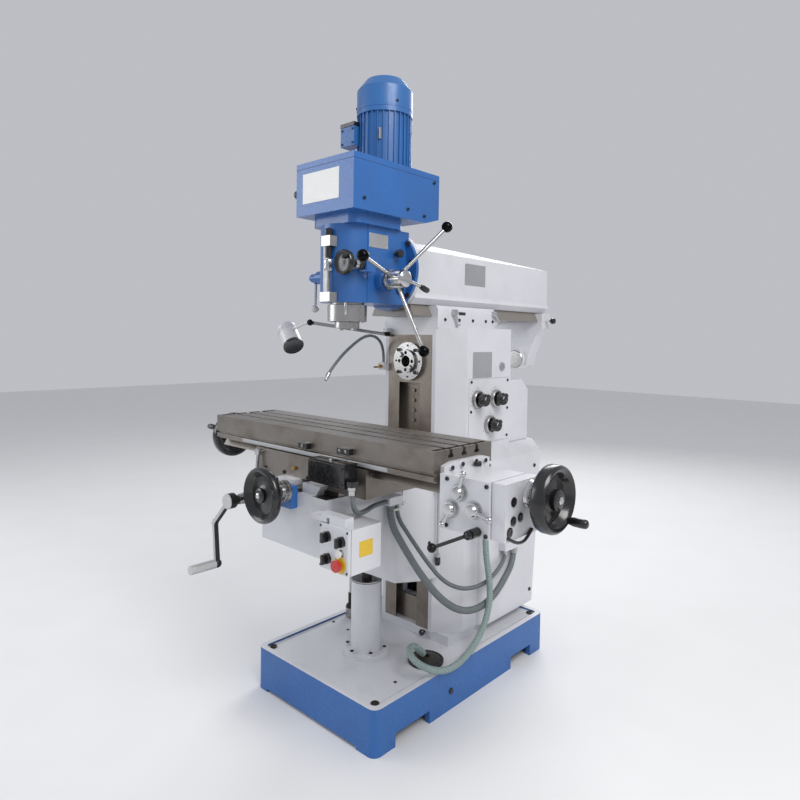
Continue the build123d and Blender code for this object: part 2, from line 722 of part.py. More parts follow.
def belt_cover():
    z0 = pivot_z + 173
    z1 = z0 + 185
    y0 = spindle_y - 115
    profile = [(y0, z0), (-112, z0), (-40, z0 + 21), (-40, z1), (y0, z1)]
    body = prism_x(profile, -149, 149)
    inner = [(y0 + 6, z0 + 6), (-113, z0 + 6), (-46, z0 + 26), (-46, z1 - 6), (y0 + 6, z1 - 6)]
    body -= prism_x(inner, -143, 143)
    body -= cyl_z(0, spindle_y, z0, z0 + 6, 40)
    body -= cyl_z(0, motor_y, z1 - 6, z1, 60)
    body += cyl_z(0, spindle_y, z1, z1 + 26, 31)
    body += cyl_z(0, spindle_y, z0 + 6, z0 + 13, 46) - cyl_z(0, spindle_y, z0 + 6, z0 + 13, 34)
    body += stick((-149, spindle_y - 80, z0 + 90), (-182, spindle_y - 80, z0 + 90), 9, 17)
    return body


def pulley_level():
    return pivot_z + 212


def spindle_pulley():
    z = pulley_level()
    body = cyl_z(0, spindle_y, z - 25.6, z + 60, 28) + cyl_z(0, spindle_y, z, z + 44, driven_pulley_r)
    return body - cyl_z(0, spindle_y, z - 25.6, z + 60, 18 + shaft_gap)


def motor_rotor():
    z = pulley_level()
    low = pivot_z + 358
    body = cyl_z(0, motor_y, z - 10, low + 230, 12) + cyl_z(0, motor_y, z, z + 44, drive_pulley_r)
    body += cyl_z(0, motor_y, low + 40, low + 170, 55)
    return body + cyl_z(0, motor_y, low + 224, low + 230, 70)


def drive_belt():
    z = pulley_level() + 4
    a = Vector(0, spindle_y)
    b = Vector(0, motor_y)

    def wrap(ra, rb):
        lean = (ra - rb) / (b.Y - a.Y)
        c = math.sqrt(1 - lean * lean)
        pts = [(ra * c, a.Y + ra * lean), (rb * c, b.Y + rb * lean), (-rb * c, b.Y + rb * lean),
               (-ra * c, a.Y + ra * lean)]
        return outline(pts) + Pos(0, a.Y) * Circle(ra) + Pos(0, b.Y) * Circle(rb)

    inner = wrap(driven_pulley_r + slide_gap, drive_pulley_r + slide_gap)
    outer = wrap(driven_pulley_r + belt_thickness, drive_pulley_r + belt_thickness)
    return Pos(0, 0, z) * extrude(outer - inner, 36)


def head_motor():
    low = pivot_z + 358
    body = cyl_z(0, motor_y, low, low + 221, motor_r - 6)
    for i in range(30):
        body += Pos(0, motor_y, low) * (Rot(0, 0, 12 * i) * box(motor_r - 8, motor_r, -2, 2, 14, 214))
    body += cyl_z(0, motor_y, low, low + 14, motor_r)
    body += cyl_z(0, motor_y, low + 207, low + 300, motor_r + 2)
    body += Pos(0, motor_y, low + 300) * extrude(Circle(motor_r + 2), 42, taper=38)
    body -= cyl_z(0, motor_y, low + 216, low + 300, motor_r - 2)
    body -= cyl_z(0, motor_y, low + 14, low + 198, 75)
    body += cyl_z(0, motor_y, low + 50, low + 160, 76) - cyl_z(0, motor_y, low + 50, low + 160, 55.4)
    body -= cyl_z(0, motor_y, low, low + 221, 12 + shaft_gap)
    body += box(-112, -40, motor_y - 118, motor_y - 70, low + 94, low + 177)
    return body


def depth_stop():
    y = spindle_y - 109
    z = pivot_z
    body = cyl_z(22, y, z - 131, z + 100, 6)
    body += box(-5, 45, y - 14, spindle_y - 90, z - 131, z - 99)
    body += box(0, 44, y - 14, spindle_y - 90, z + 57, z + 92)
    outer = cyl_z(0, spindle_y, z - 140, z + 140, 97)
    return body - outer


def quill_hub():
    y = -290
    z = pivot_z - 48
    body = cyl_x(y, z, 90, 131, 14) + cyl_x(y, z, 130 + face_gap, 205, 32)
    for a in (49.8, 168.7, -79.2):
        c = math.cos(math.radians(a))
        s = math.sin(math.radians(a))
        tip = (260, y + 253 * c, z + 253 * s)
        body += stick((170, y + 16 * c, z + 16 * s), tip, 7, 20)
    return body


def fine_feed_wheel():
    y = spindle_y
    z = pivot_z - 4
    body = cyl_y(115, z, y - 126, y - 4, 8) + cyl_y(115, z, y - 60, y - 39 - face_gap, 18)
    rim = Plane(origin=(115, y - 115, z), z_dir=(0, -1, 0)) * spoked_wheel(42, 6, 13, 8)
    return body + rim


def brake_lever():
    y = spindle_y - 21
    z = pivot_z - 36
    body = cyl_x(y, z, -160, -92, 8) + cyl_x(y, z, -166, -130 - face_gap, 16)
    return body + stick((-150, y, z), (-160, y + 6, z - 112), 6, 15)


# ---- hoses ----
def hose_a():
    k = knee_top
    points = [(190, -325, k - 59 - face_gap), (190, -325, k - 120), (219, -292, k - 200),
              (262, -240, k - 310), (284, -160, k - 410), (293, -55, k - 485), (293, 60, k - 512),
              (288, 165, k - 498), (280, 250, k - 459), (268, 340, k - 402),
              (268, 340, base_top + 322 - face_gap)]
    return tube("hose_a", points, 13)


def hose_b():
    k = knee_top
    points = [(190, -293, k - 59 - face_gap), (190, -293, k - 105), (212, -252, k - 176),
              (245, -196, k - 272), (266, -125, k - 360), (278, -35, k - 412), (280, 60, k - 432),
              (276, 145, k - 432), (272, 220, k - 410), (264, 285, k - 376),
              (264, 285, base_top + 322 - face_gap)]
    return tube("hose_b", points, 8)


def drain_hose():
    z = base_top
    points = [(290, 104, z + 452 - face_gap), (290, 104, z + 370), (302, 110, z + 285),
              (316, 108, z + 195), (328, 62, z + 110), (335, -25, z + 48), (336, -120, z + 18),
              (330, -205, z + 24), (306, -272, z + 56), (262, -290, z + 84), (226, -255, z + 92),
              (214, -205, z + 78), (213, -165, z + 34)]
    return tube("drain_hose", points, 12.5)


def conduit():
    y = table_front
    k = knee_top
    points = [(265, y - 34, saddle_low + 43 - face_gap), (265, y - 34, k - 4), (256, y, k - 36),
              (232, y + 60, k - 42), (203, y + 112, k - 45), (191, -385, k - 45), (191, -345 - face_gap, k - 45)]
    return tube("conduit", points, 8)


os.makedirs("parts", exist_ok=True)

pieces = {
    "base_casting": base_casting(),
    "screw_pedestal": screw_pedestal(),
    "drain_strainer": drain_strainer(),
    "stop_rod": stop_rod(),
    "column_casting": column_casting(),
    "column_ways": column_ways(),
    "arbor_bearing_cover": arbor_bearing_cover(),
    "horizontal_spindle": horizontal_spindle(),
    "motor_cover": motor_cover(),
    "cabinet_door": cabinet_door(),
    "lamp_arm": lamp_arm(),
    "lamp_head": lamp_head(),
    "coolant_pipe": coolant_pipe(),
    "knee_casting": knee_casting(),
    "cross_bracket": cross_bracket(),
    "elevating_screw": elevating_screw(),
    "knee_crank": knee_crank(),
    "cross_wheel": cross_wheel(),
    "cross_screw": cross_screw(),
    "control_box": control_box(),
    "start_button": start_button(),
    "stop_button": stop_button(),
    "switch_knob": switch_knob(),
    "knee_clamp_lever": knee_clamp_lever(),
    "saddle_casting": saddle_casting(),
    "switch_box": switch_box(),
    "saddle_clamp_lever": saddle_clamp_lever(),
    "table_casting": table_casting(),
    "table_brackets": table_brackets(),
    "feed_gearbox": feed_gearbox(),
    "feed_lever": feed_lever(),
    "table_screw": table_screw(),
    "table_handwheels": table_handwheels(),
    "ram_guide": ram_guide(),
    "ram_casting": ram_casting(),
    "ram_clamp_lever": ram_clamp_lever(),
    "arbor_support": arbor_support(),
    "arbor_bush": arbor_bush(),
    "head_casting": head_casting(),
    "quill": quill(),
    "vertical_spindle": vertical_spindle(),
    "belt_cover": belt_cover(),
    "spindle_pulley": spindle_pulley(),
    "motor_rotor": motor_rotor(),
    "drive_belt": drive_belt(),
    "head_motor": head_motor(),
    "depth_stop": depth_stop(),
    "quill_hub": quill_hub(),
    "fine_feed_wheel": fine_feed_wheel(),
    "brake_lever": brake_lever(),
    "hose_a": hose_a(),
    "hose_b": hose_b(),
    "drain_hose": drain_hose(),
    "conduit": conduit(),
}
for i, (y, z) in enumerate(speed_knob_seats()):
    pieces["speed_knob_" + str(i + 1)] = speed_knob(y, z)
for i, (seat, tip) in enumerate(zip(gear_lever_seats(), ((20, 55), (-22, -46), (58, -13)))):
    pieces["gear_lever_" + str(i + 1)] = gear_lever(seat, tip)

for name, shape in pieces.items():
    save(name, shape)
print(len(pieces), "pieces")
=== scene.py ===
import math
import bmesh
import bpy
from mathutils import Matrix, Vector


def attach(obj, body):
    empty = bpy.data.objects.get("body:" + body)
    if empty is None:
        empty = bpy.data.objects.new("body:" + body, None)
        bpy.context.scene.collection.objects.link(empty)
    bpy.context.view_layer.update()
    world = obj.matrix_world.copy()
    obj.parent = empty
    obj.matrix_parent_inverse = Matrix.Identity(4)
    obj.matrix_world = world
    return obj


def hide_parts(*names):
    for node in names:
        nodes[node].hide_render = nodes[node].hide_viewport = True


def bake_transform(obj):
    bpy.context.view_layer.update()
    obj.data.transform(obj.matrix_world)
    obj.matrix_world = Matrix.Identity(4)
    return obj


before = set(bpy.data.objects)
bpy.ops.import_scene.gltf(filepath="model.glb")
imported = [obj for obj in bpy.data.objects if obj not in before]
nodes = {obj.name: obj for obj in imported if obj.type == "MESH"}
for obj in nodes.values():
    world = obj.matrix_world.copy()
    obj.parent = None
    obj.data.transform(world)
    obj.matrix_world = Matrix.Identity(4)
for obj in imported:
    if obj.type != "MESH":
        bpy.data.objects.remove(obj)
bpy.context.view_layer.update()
SCENE = bpy.context.scene


def V(x, y, z):
    return Vector((x, y, z)) / 1000


def circle(r, angles):
    """Places on a circle of radius r about zero, at angles in degrees."""
    return [(r * math.cos(math.radians(a)), r * math.sin(math.radians(a))) for a in angles]


# ---- camera: fitted to corners of the machine in the photograph; lengths in mm, angles in degrees ----
CAM_LENS = 28.62
CAM_SENSOR = 36
CAM_SHIFT = (-0.0089, -0.055)
CAM_PLACE = (1686.3, -1903.1, 1330.5)
CAM_HEADING = 42.16
CAM_DIP = 1.72
CAM_ROLL = 0.88


def camera():
    data = bpy.data.cameras.new("camera")
    data.lens = CAM_LENS
    data.sensor_width = CAM_SENSOR
    data.shift_x, data.shift_y = CAM_SHIFT
    cam = bpy.data.objects.new("camera", data)
    SCENE.collection.objects.link(cam)
    heading = Matrix.Rotation(math.radians(CAM_HEADING), 4, "Z")
    dip = Matrix.Rotation(math.radians(90 - CAM_DIP), 4, "X")
    roll = Matrix.Rotation(math.radians(CAM_ROLL), 4, "Z")
    cam.matrix_world = Matrix.Translation(V(*CAM_PLACE)) @ (heading @ dip) @ roll
    SCENE.camera = cam


camera()


# ---- materials ----
def link(tree, a, b):
    tree.links.new(a, b)


def finish(name, color, rough=0.4, metal=0.0, vary=0.12, grain=60.0, bump=0.05, stretch=(1, 1, 1), dust=0.0,
           coat=0.0, dirt_and_shade=(0.05, 0.045, 0.04), dirt_and_shade_amount=0.15, second=None, where=None, rings=None,
           through=0.0, aniso=0.0):
    mat = bpy.data.materials.new(name)
    mat.use_nodes = True
    t = mat.node_tree
    t.nodes.clear()
    out = t.nodes.new("ShaderNodeOutputMaterial")
    sh = t.nodes.new("ShaderNodeBsdfPrincipled")
    link(t, sh.outputs[0], out.inputs[0])
    co = t.nodes.new("ShaderNodeTexCoord")
    mp = t.nodes.new("ShaderNodeMapping")
    mp.inputs["Scale"].default_value = stretch
    link(t, co.outputs["Object"], mp.inputs["Vector"])

    def noise(scale, detail, vec):
        n = t.nodes.new("ShaderNodeTexNoise")
        n.inputs["Scale"].default_value = scale
        n.inputs["Detail"].default_value = detail
        link(t, vec, n.inputs["Vector"])
        return n.outputs["Fac"]

    def remap(fac, a, b, c, d):
        m = t.nodes.new("ShaderNodeMapRange")
        m.inputs["From Min"].default_value = a
        m.inputs["From Max"].default_value = b
        m.inputs["To Min"].default_value = c
        m.inputs["To Max"].default_value = d
        link(t, fac, m.inputs["Value"])
        return m.outputs[0]

    def mix(fac, a, b):
        m = t.nodes.new("ShaderNodeMix")
        m.data_type = "RGBA"
        if isinstance(fac, float):
            m.inputs[0].default_value = fac
        else:
            link(t, fac, m.inputs[0])
        for sock, val in ((m.inputs[6], a), (m.inputs[7], b)):
            if isinstance(val, tuple):
                sock.default_value = (*val, 1)
            else:
                link(t, val, sock)
        return m.outputs[2]

    def calc(op, a, b):
        m = t.nodes.new("ShaderNodeMath")
        m.operation = op
        for sock, val in ((m.inputs[0], a), (m.inputs[1], b)):
            if isinstance(val, (int, float)):
                sock.default_value = val
            else:
                link(t, val, sock)
        return m.outputs[0]

    broad = noise(4.0, 4, co.outputs["Object"])
    fine = noise(grain, 6, mp.outputs["Vector"])
    dark = tuple(c * (1 - vary) for c in color)
    light = tuple(min(1.0, c * (1 + vary * 0.6)) for c in color)
    col = mix(remap(broad, 0.3, 0.7, 0, 1), dark, light)
    col = mix(remap(fine, 0.35, 0.75, 0, 0.5), col, tuple(c * (1 - vary * 1.4) for c in color))
    if second:
        other = mix(remap(fine, 0.3, 0.7, 0, 1), second, tuple(c * 0.95 for c in second))
        sep = t.nodes.new("ShaderNodeSeparateXYZ")
        if where[0] == "up":
            geo = t.nodes.new("ShaderNodeNewGeometry")
            link(t, geo.outputs["Normal"], sep.inputs[0])
            pos = t.nodes.new("ShaderNodeSeparateXYZ")
            link(t, co.outputs["Object"], pos.inputs[0])
            fac = calc("MULTIPLY", calc("GREATER_THAN", sep.outputs[2], 0.3),
                       calc("GREATER_THAN", pos.outputs[2], where[1]))
        elif where[0] == "axis":
            link(t, co.outputs["Object"], sep.inputs[0])
            side = calc("GREATER_THAN", sep.outputs["XYZ".index(where[1])], where[2])
            fac = side if where[3] > 0 else calc("SUBTRACT", 1.0, side)
        else:
            near = None
            for p in where[1]:
                d = t.nodes.new("ShaderNodeVectorMath")
                d.operation = "DISTANCE"
                link(t, co.outputs["Object"], d.inputs[0])
                d.inputs[1].default_value = V(*p)
                close = calc("LESS_THAN", d.outputs["Value"], where[2])
                near = close if near is None else calc("MAXIMUM", near, close)
            fac = near
        col = mix(fac, col, other)
    if dirt_and_shade_amount:
        geo = t.nodes.new("ShaderNodeNewGeometry")
        spot = noise(9.0, 8, co.outputs["Object"])
        # noise spots are dirt; concave creases, found from the mesh curvature, are darkened as painted shade,
        # both towards the same dark colour
        edge = calc("MULTIPLY", remap(spot, 0.52, 0.72, 0, 1), dirt_and_shade_amount)
        crease_shade = calc("MULTIPLY", remap(geo.outputs["Pointiness"], 0.49, 0.44, 0, 1), dirt_and_shade_amount * 2)
        col = mix(calc("MINIMUM", calc("ADD", edge, crease_shade), 0.85), col, dirt_and_shade)
    if dust:
        geo = t.nodes.new("ShaderNodeNewGeometry")
        sep = t.nodes.new("ShaderNodeSeparateXYZ")
        link(t, geo.outputs["Normal"], sep.inputs[0])
        up = calc("MULTIPLY", remap(sep.outputs[2], 0.6, 1.0, 0, 1), remap(fine, 0.4, 0.7, 0, dust))
        col = mix(up, col, (0.5, 0.48, 0.44))
    link(t, col, sh.inputs["Base Color"])
    link(t, remap(fine, 0.3, 0.7, max(0.03, rough - 0.08), min(1.0, rough + 0.1)), sh.inputs["Roughness"])
    sh.inputs["Metallic"].default_value = metal
    sh.inputs["Coat Weight"].default_value = coat
    sh.inputs["Coat Roughness"].default_value = 0.12
    sh.inputs["Anisotropic"].default_value = aniso
    if through:
        sh.inputs["Transmission Weight"].default_value = through
        sh.inputs["IOR"].default_value = 1.42
    height = fine
    if rings:
        sep = t.nodes.new("ShaderNodeSeparateXYZ")
        link(t, co.outputs["UV"], sep.inputs[0])
        wave = calc("SINE", calc("MULTIPLY", sep.outputs[0], rings * 2 * math.pi), 0.0)
        height = calc("ADD", calc("MULTIPLY", wave, 0.8), calc("MULTIPLY", fine, 0.2))
        # painted shade: the grooves between the hose ribs are darkened towards the dark colour, in step with
        # the bump
        link(t, mix(remap(wave, -1, 0.2, 0.45, 0.0), col, dirt_and_shade), sh.inputs["Base Color"])
    b = t.nodes.new("ShaderNodeBump")
    b.inputs["Strength"].default_value = bump if not rings else 0.6
    b.inputs["Distance"].default_value = 0.0015
    link(t, height, b.inputs["Height"])
    link(t, b.outputs[0], sh.inputs["Normal"])
    return mat


WHITE = (0.66, 0.665, 0.70)
BLUE = (0.020, 0.125, 0.40)
white = finish("white enamel", WHITE, 0.34, vary=0.05, grain=140, bump=0.05, dust=0.06, coat=0.35,
               dirt_and_shade_amount=0.07)
blue = finish("blue enamel", BLUE, 0.36, vary=0.12, grain=150, bump=0.06, dust=0.05, coat=0.35,
              dirt_and_shade_amount=0.08)
base_mat = finish("base enamel", BLUE, 0.42, vary=0.12, grain=120, bump=0.08, coat=0.2, dirt_and_shade_amount=0.1,
                  second=WHITE, where=("up", 0.12))
motor_blue = finish("motor enamel", (0.028, 0.14, 0.40), 0.4, vary=0.14, grain=180, bump=0.1, coat=0.2)
ground = finish("ground steel", (0.27, 0.245, 0.22), 0.36, metal=0.85, vary=0.2, grain=35,
                stretch=(1, 14, 14), bump=0.05, aniso=0.4, dirt_and_shade=(0.09, 0.06, 0.035), dirt_and_shade_amount=0.45)
scraped = finish("scraped way steel", (0.27, 0.235, 0.20), 0.4, metal=0.8, vary=0.25, grain=50,
                 stretch=(12, 12, 1), bump=0.06, dirt_and_shade=(0.10, 0.06, 0.03), dirt_and_shade_amount=0.5)
steel = finish("turned steel", (0.48, 0.47, 0.46), 0.26, metal=1.0, vary=0.14, grain=90, stretch=(1, 1, 9),
               bump=0.04, aniso=0.3, dirt_and_shade_amount=0.18)
bright = finish("plated steel", (0.62, 0.62, 0.63), 0.16, metal=1.0, vary=0.1, grain=120, bump=0.02,
                dirt_and_shade_amount=0.1)
iron = finish("dark oiled iron", (0.035, 0.032, 0.03), 0.42, metal=0.5, vary=0.3, grain=70, bump=0.2,
              dirt_and_shade=(0.10, 0.07, 0.05), dirt_and_shade_amount=0.3)
black = finish("black phenolic", (0.010, 0.010, 0.011), 0.24, vary=0.3, grain=90, bump=0.03, coat=0.35,
               dust=0.02, dirt_and_shade=(0.05, 0.048, 0.045), dirt_and_shade_amount=0.05)
soft_black = finish("black wiper rubber", (0.018, 0.018, 0.018), 0.7, vary=0.3, grain=200, bump=0.2,
                    dirt_and_shade=(0.12, 0.11, 0.1), dirt_and_shade_amount=0.25)
grey_hose = finish("grey ribbed hose", (0.20, 0.23, 0.235), 0.42, vary=0.15, grain=80, rings=1.0, coat=0.15,
                   dirt_and_shade=(0.07, 0.08, 0.08), dirt_and_shade_amount=0.15)
clear_hose = finish("clear drain hose", (0.33, 0.43, 0.41), 0.3, vary=0.12, grain=60, rings=1.0, through=0.2,
                    dirt_and_shade=(0.28, 0.36, 0.33), dirt_and_shade_amount=0.2)
bronze = finish("bronze", (0.50, 0.30, 0.11), 0.3, metal=1.0, vary=0.2, grain=80, dirt_and_shade_amount=0.3)
red = finish("red button", (0.55, 0.012, 0.012), 0.28, vary=0.12, grain=90, coat=0.4, dirt_and_shade_amount=0.05)
yellow = finish("yellow disc", (0.75, 0.50, 0.02), 0.35, vary=0.1, grain=90, coat=0.2, dirt_and_shade_amount=0.06)
ivory = finish("white button", (0.75, 0.75, 0.72), 0.3, vary=0.06, grain=90, coat=0.3, dirt_and_shade_amount=0.05)
plate = finish("etched plate", (0.50, 0.51, 0.52), 0.38, metal=0.7, vary=0.1, grain=160, stretch=(1, 12, 1),
               dirt_and_shade_amount=0.1)
glass = finish("lamp glass", (0.30, 0.31, 0.32), 0.08, vary=0.1, grain=60, through=0.5, coat=0.8,
               dirt_and_shade_amount=0.04)
crank_mat = finish("crank steel", (0.03, 0.03, 0.03), 0.4, metal=0.6, vary=0.2, grain=80, dirt_and_shade_amount=0.2,
                   second=(0.6, 0.6, 0.6), where=("axis", "Y", -0.768, -1))
hub_mat = finish("hub steel", (0.60, 0.59, 0.58), 0.18, metal=1.0, vary=0.1, grain=90, dirt_and_shade_amount=0.12,
                 second=(0.01, 0.01, 0.011),
                 where=("near", [(260, -290 + y, 1530 + z) for y, z in circle(253, (49.8, 168.7, -79.2))],
                        0.0212))
feed_mat = finish("feed lever steel", (0.05, 0.05, 0.05), 0.35, metal=0.6, vary=0.2, grain=80,
                  dirt_and_shade_amount=0.1, second=(0.01, 0.01, 0.011), where=("near", [(598, -590, 761)], 0.016))
brake_mat = finish("brake lever", BLUE, 0.36, vary=0.1, grain=90, coat=0.2, dirt_and_shade_amount=0.1,
                   second=(0.6, 0.6, 0.6), where=("axis", "Z", 1.520, -1))
ram_mat = finish("ram enamel and way", WHITE, 0.34, vary=0.05, grain=140, bump=0.05, coat=0.3,
                 dirt_and_shade_amount=0.07, second=(0.20, 0.18, 0.16), where=("axis", "Z", 1.4548, -1))
flange_mat = finish("head enamel", BLUE, 0.36, vary=0.12, grain=150, bump=0.06, dust=0.05, coat=0.35,
                    dirt_and_shade_amount=0.08, second=(0.02, 0.02, 0.02),
                    where=("near", [(x, -172, 1578 + z) for x in (-112, 112) for z in (-95, 95)], 0.0125))
cover_mat = finish("belt cover enamel", BLUE, 0.36, vary=0.12, grain=150, bump=0.06, dust=0.05, coat=0.35,
                   dirt_and_shade_amount=0.08, second=(0.03, 0.022, 0.018),
                   where=("near", [(-182, -443, 1841), (0, -363, 1956)], 0.034))
lamp_mat = finish("lamp enamel", (0.72, 0.72, 0.72), 0.3, vary=0.06, grain=120, coat=0.4, dirt_and_shade_amount=0.06,
                  second=(0.012, 0.012, 0.012), where=("near", [(-436, -262, 1285)], 0.0425))
arm_mat = finish("lamp arm", (0.35, 0.36, 0.38), 0.3, metal=0.9, vary=0.12, grain=90, dirt_and_shade_amount=0.12,
                 second=(0.02, 0.02, 0.02), where=("near", [(-112, -38, 1350), (-346, -249, 1383)], 0.02))


# ---- mesh tools ----
def shade(obj, angle=35):
    obj.data.shade_smooth()
    obj.data.set_sharp_from_angle(angle=math.radians(angle))


def add(name, bm, mat, body, bevel=0.0, smooth=35):
    bmesh.ops.recalc_face_normals(bm, faces=bm.faces)
    me = bpy.data.meshes.new(name)
    bm.to_mesh(me)
    bm.free()
    o = bpy.data.objects.new(name, me)
    SCENE.collection.objects.link(o)
    me.materials.append(mat)
    if bevel:
        m = o.modifiers.new("edges", "BEVEL")
        m.width = bevel / 1000
        m.segments = 3
        m.limit_method = "ANGLE"
    shade(o, smooth)
    if body:
        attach(o, body)
    return o


def block(name, lo, hi, mat, body, bevel=1.0, turn=None):
    bm = bmesh.new()
    bmesh.ops.create_cube(bm, size=1)
    size = Vector(hi) - Vector(lo)
    for v in bm.verts:
        v.co = Vector((v.co.x * size.x, v.co.y * size.y, v.co.z * size.z)) / 1000
        if turn:
            v.co = turn @ v.co
        v.co += (Vector(lo) + Vector(hi)) / 2000
    return add(name, bm, mat, body, bevel)


def basis(direction):
    d = Vector(direction).normalized()
    return d.to_track_quat("Z", "Y").to_matrix()


def lathe_into(bm, profile, origin, direction, steps=48):
    rot = basis(direction)
    rings = []
    for r, h in profile:
        ring = []
        for i in range(steps):
            a = 2 * math.pi * i / steps
            ring.append(bm.verts.new(rot @ Vector((r * math.cos(a), r * math.sin(a), h)) / 1000 + V(*origin)))
        rings.append(ring)
    for a, b in zip(rings, rings[1:]):
        for i in range(steps):
            j = (i + 1) % steps
            bm.faces.new((a[i], a[j], b[j], b[i]))
    bm.faces.new(list(reversed(rings[0])))
    bm.faces.new(rings[-1])


def lathe(name, profile, origin, direction, mat, body, steps=48, smooth=30):
    bm = bmesh.new()
    lathe_into(bm, profile, origin, direction, steps)
    return add(name, bm, mat, body, 0, smooth)


def screws(name, spots, direction, r, h, mat, body):
    bm = bmesh.new()
    for p in spots:
        lathe_into(bm, [(r, 0), (r, h * 0.82), (r * 0.86, h), (r * 0.55, h), (r * 0.5, h * 0.5),
                        (0.2, h * 0.45)],
                   p, direction, 24)
    return add(name, bm, mat, body, 0, 30)


def wire(name, points, r, mat, body, steps=12):
    c = bpy.data.curves.new(name, "CURVE")
    c.dimensions = "3D"
    s = c.splines.new("NURBS")
    s.points.add(len(points) - 1)
    for p, q in zip(s.points, points):
        p.co = (*V(*q), 1)
    s.order_u = 3
    s.use_endpoint_u = True
    c.bevel_depth = r / 1000
    c.bevel_resolution = 5
    c.resolution_u = steps
    c.use_fill_caps = True
    o = bpy.data.objects.new(name, c)
    SCENE.collection.objects.link(o)
    c.materials.append(mat)
    if body:
        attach(o, body)
    return o


# ---- hoses ----
def centre_line(points):
    c = bpy.data.curves.new("route", "CURVE")
    c.dimensions = "3D"
    s = c.splines.new("NURBS")
    s.points.add(len(points) - 1)
    for p, q in zip(s.points, points):
        p.co = (*V(*q), 1)
    s.order_u = 3
    s.use_endpoint_u = True
    c.resolution_u = 40
    o = bpy.data.objects.new("route", c)
    SCENE.collection.objects.link(o)
    me = bpy.data.meshes.new_from_object(o)
    line = [v.co.copy() for v in me.vertices]
    bpy.data.objects.remove(o)
    bpy.data.meshes.remove(me)
    return line


def even(line, step):
    out = [line[0]]
    left = step
    for a, b in zip(line, line[1:]):
        seg = (b - a).length
        at = 0.0
        while seg - at > left:
            at += left
            out.append(a.lerp(b, at / seg))
            left = step
        left -= seg - at
    if (out[-1] - line[-1]).length > step * 0.4:
        out.append(line[-1])
    else:
        out[-1] = line[-1]
    return out


def hose(name, points, d, mat, cad_node, body=None, between=None, rib=0.0, pitch=6.0):
    line = even(centre_line(points), pitch / 4000)
    around = 28
    bm = bmesh.new()
    uv = bm.loops.layers.uv.new("along")
    rings = []
    side = None
    dist = 0.0
    along = []
    for i, p in enumerate(line):
        a = line[max(0, i - 1)]
        b = line[min(len(line) - 1, i + 1)]
        t = (b - a).normalized()
        if side is None:
            side = t.orthogonal().normalized()
        side = (side - t * side.dot(t)).normalized()
        up = t.cross(side)
        if i:
            dist += (p - line[i - 1]).length
        along.append(dist)
        r = d / 2000 + rib / 1000 * (0.5 * math.cos(2 * math.pi * dist * 1000 / pitch) - 0.5)
        rings.append([bm.verts.new(p + side * (r * math.cos(2 * math.pi * k / around)) + up * (
            r * math.sin(2 * math.pi * k / around))) for k in range(around)])
    for i in range(len(rings) - 1):
        for k in range(around):
            j = (k + 1) % around
            f = bm.faces.new((rings[i][k], rings[i][j], rings[i + 1][j], rings[i + 1][k]))
            for loop, s in zip(f.loops, (along[i], along[i], along[i + 1], along[i + 1])):
                loop[uv].uv = (s * 1000 / pitch, 0.5)
    bm.faces.new(list(reversed(rings[0])))
    bm.faces.new(rings[-1])
    o = add(name, bm, mat, None, 0, 60)
    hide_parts(cad_node)
    if between:
        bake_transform(o)
    else:
        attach(o, body)
    return o


hose("hose_a_tube", [(190, -325, 751.7), (190, -325, 691), (219, -292, 611), (262, -240, 501),
                     (284, -160, 401), (293, -55, 326), (293, 60, 299), (288, 165, 313), (280, 250, 352),
                     (268, 340, 409),
                     (268, 340, 469.7)], 26, grey_hose, "hose_a", between=("knee", "frame"), rib=1.6, pitch=7)
hose("hose_b_tube", [(190, -293, 751.7), (190, -293, 706), (212, -252, 635), (245, -196, 539),
                     (266, -125, 451), (278, -35, 399), (280, 60, 379), (276, 145, 379), (272, 220, 401),
                     (264, 285, 435),
                     (264, 285, 469.7)], 16, grey_hose, "hose_b", between=("knee", "frame"), rib=1.2, pitch=5)
hose("drain_hose_tube", [(290, 104, 599.7), (290, 104, 518), (302, 110, 433), (316, 108, 343), (328, 62, 258),
                         (335, -25, 196), (336, -120, 166), (330, -205, 172), (306, -272, 204),
                         (262, -290, 232), (226, -255, 240), (214, -205, 226),
                         (213, -165, 182)], 25, clear_hose, "drain_hose",
     body="frame", rib=1.6, pitch=9)
hose("conduit_tube", [(265, -575, 867.7), (265, -575, 807), (256, -541, 775), (232, -481, 769),
                      (203, -429, 766), (191, -385, 766), (191, -345.3, 766)], 16, grey_hose, "conduit",
                      between=("saddle", "knee"),
     rib=1.2, pitch=5)
hose("coolant_tube", [(-135, -35, 1225.3), (-135, -35, 1284), (-124, -86, 1330), (-104, -169, 1336),
                      (-90, -269, 1286), (-82, -344, 1230), (-77, -384, 1188)], 12, grey_hose, "coolant_pipe",
     body="frame", rib=0.9, pitch=6)

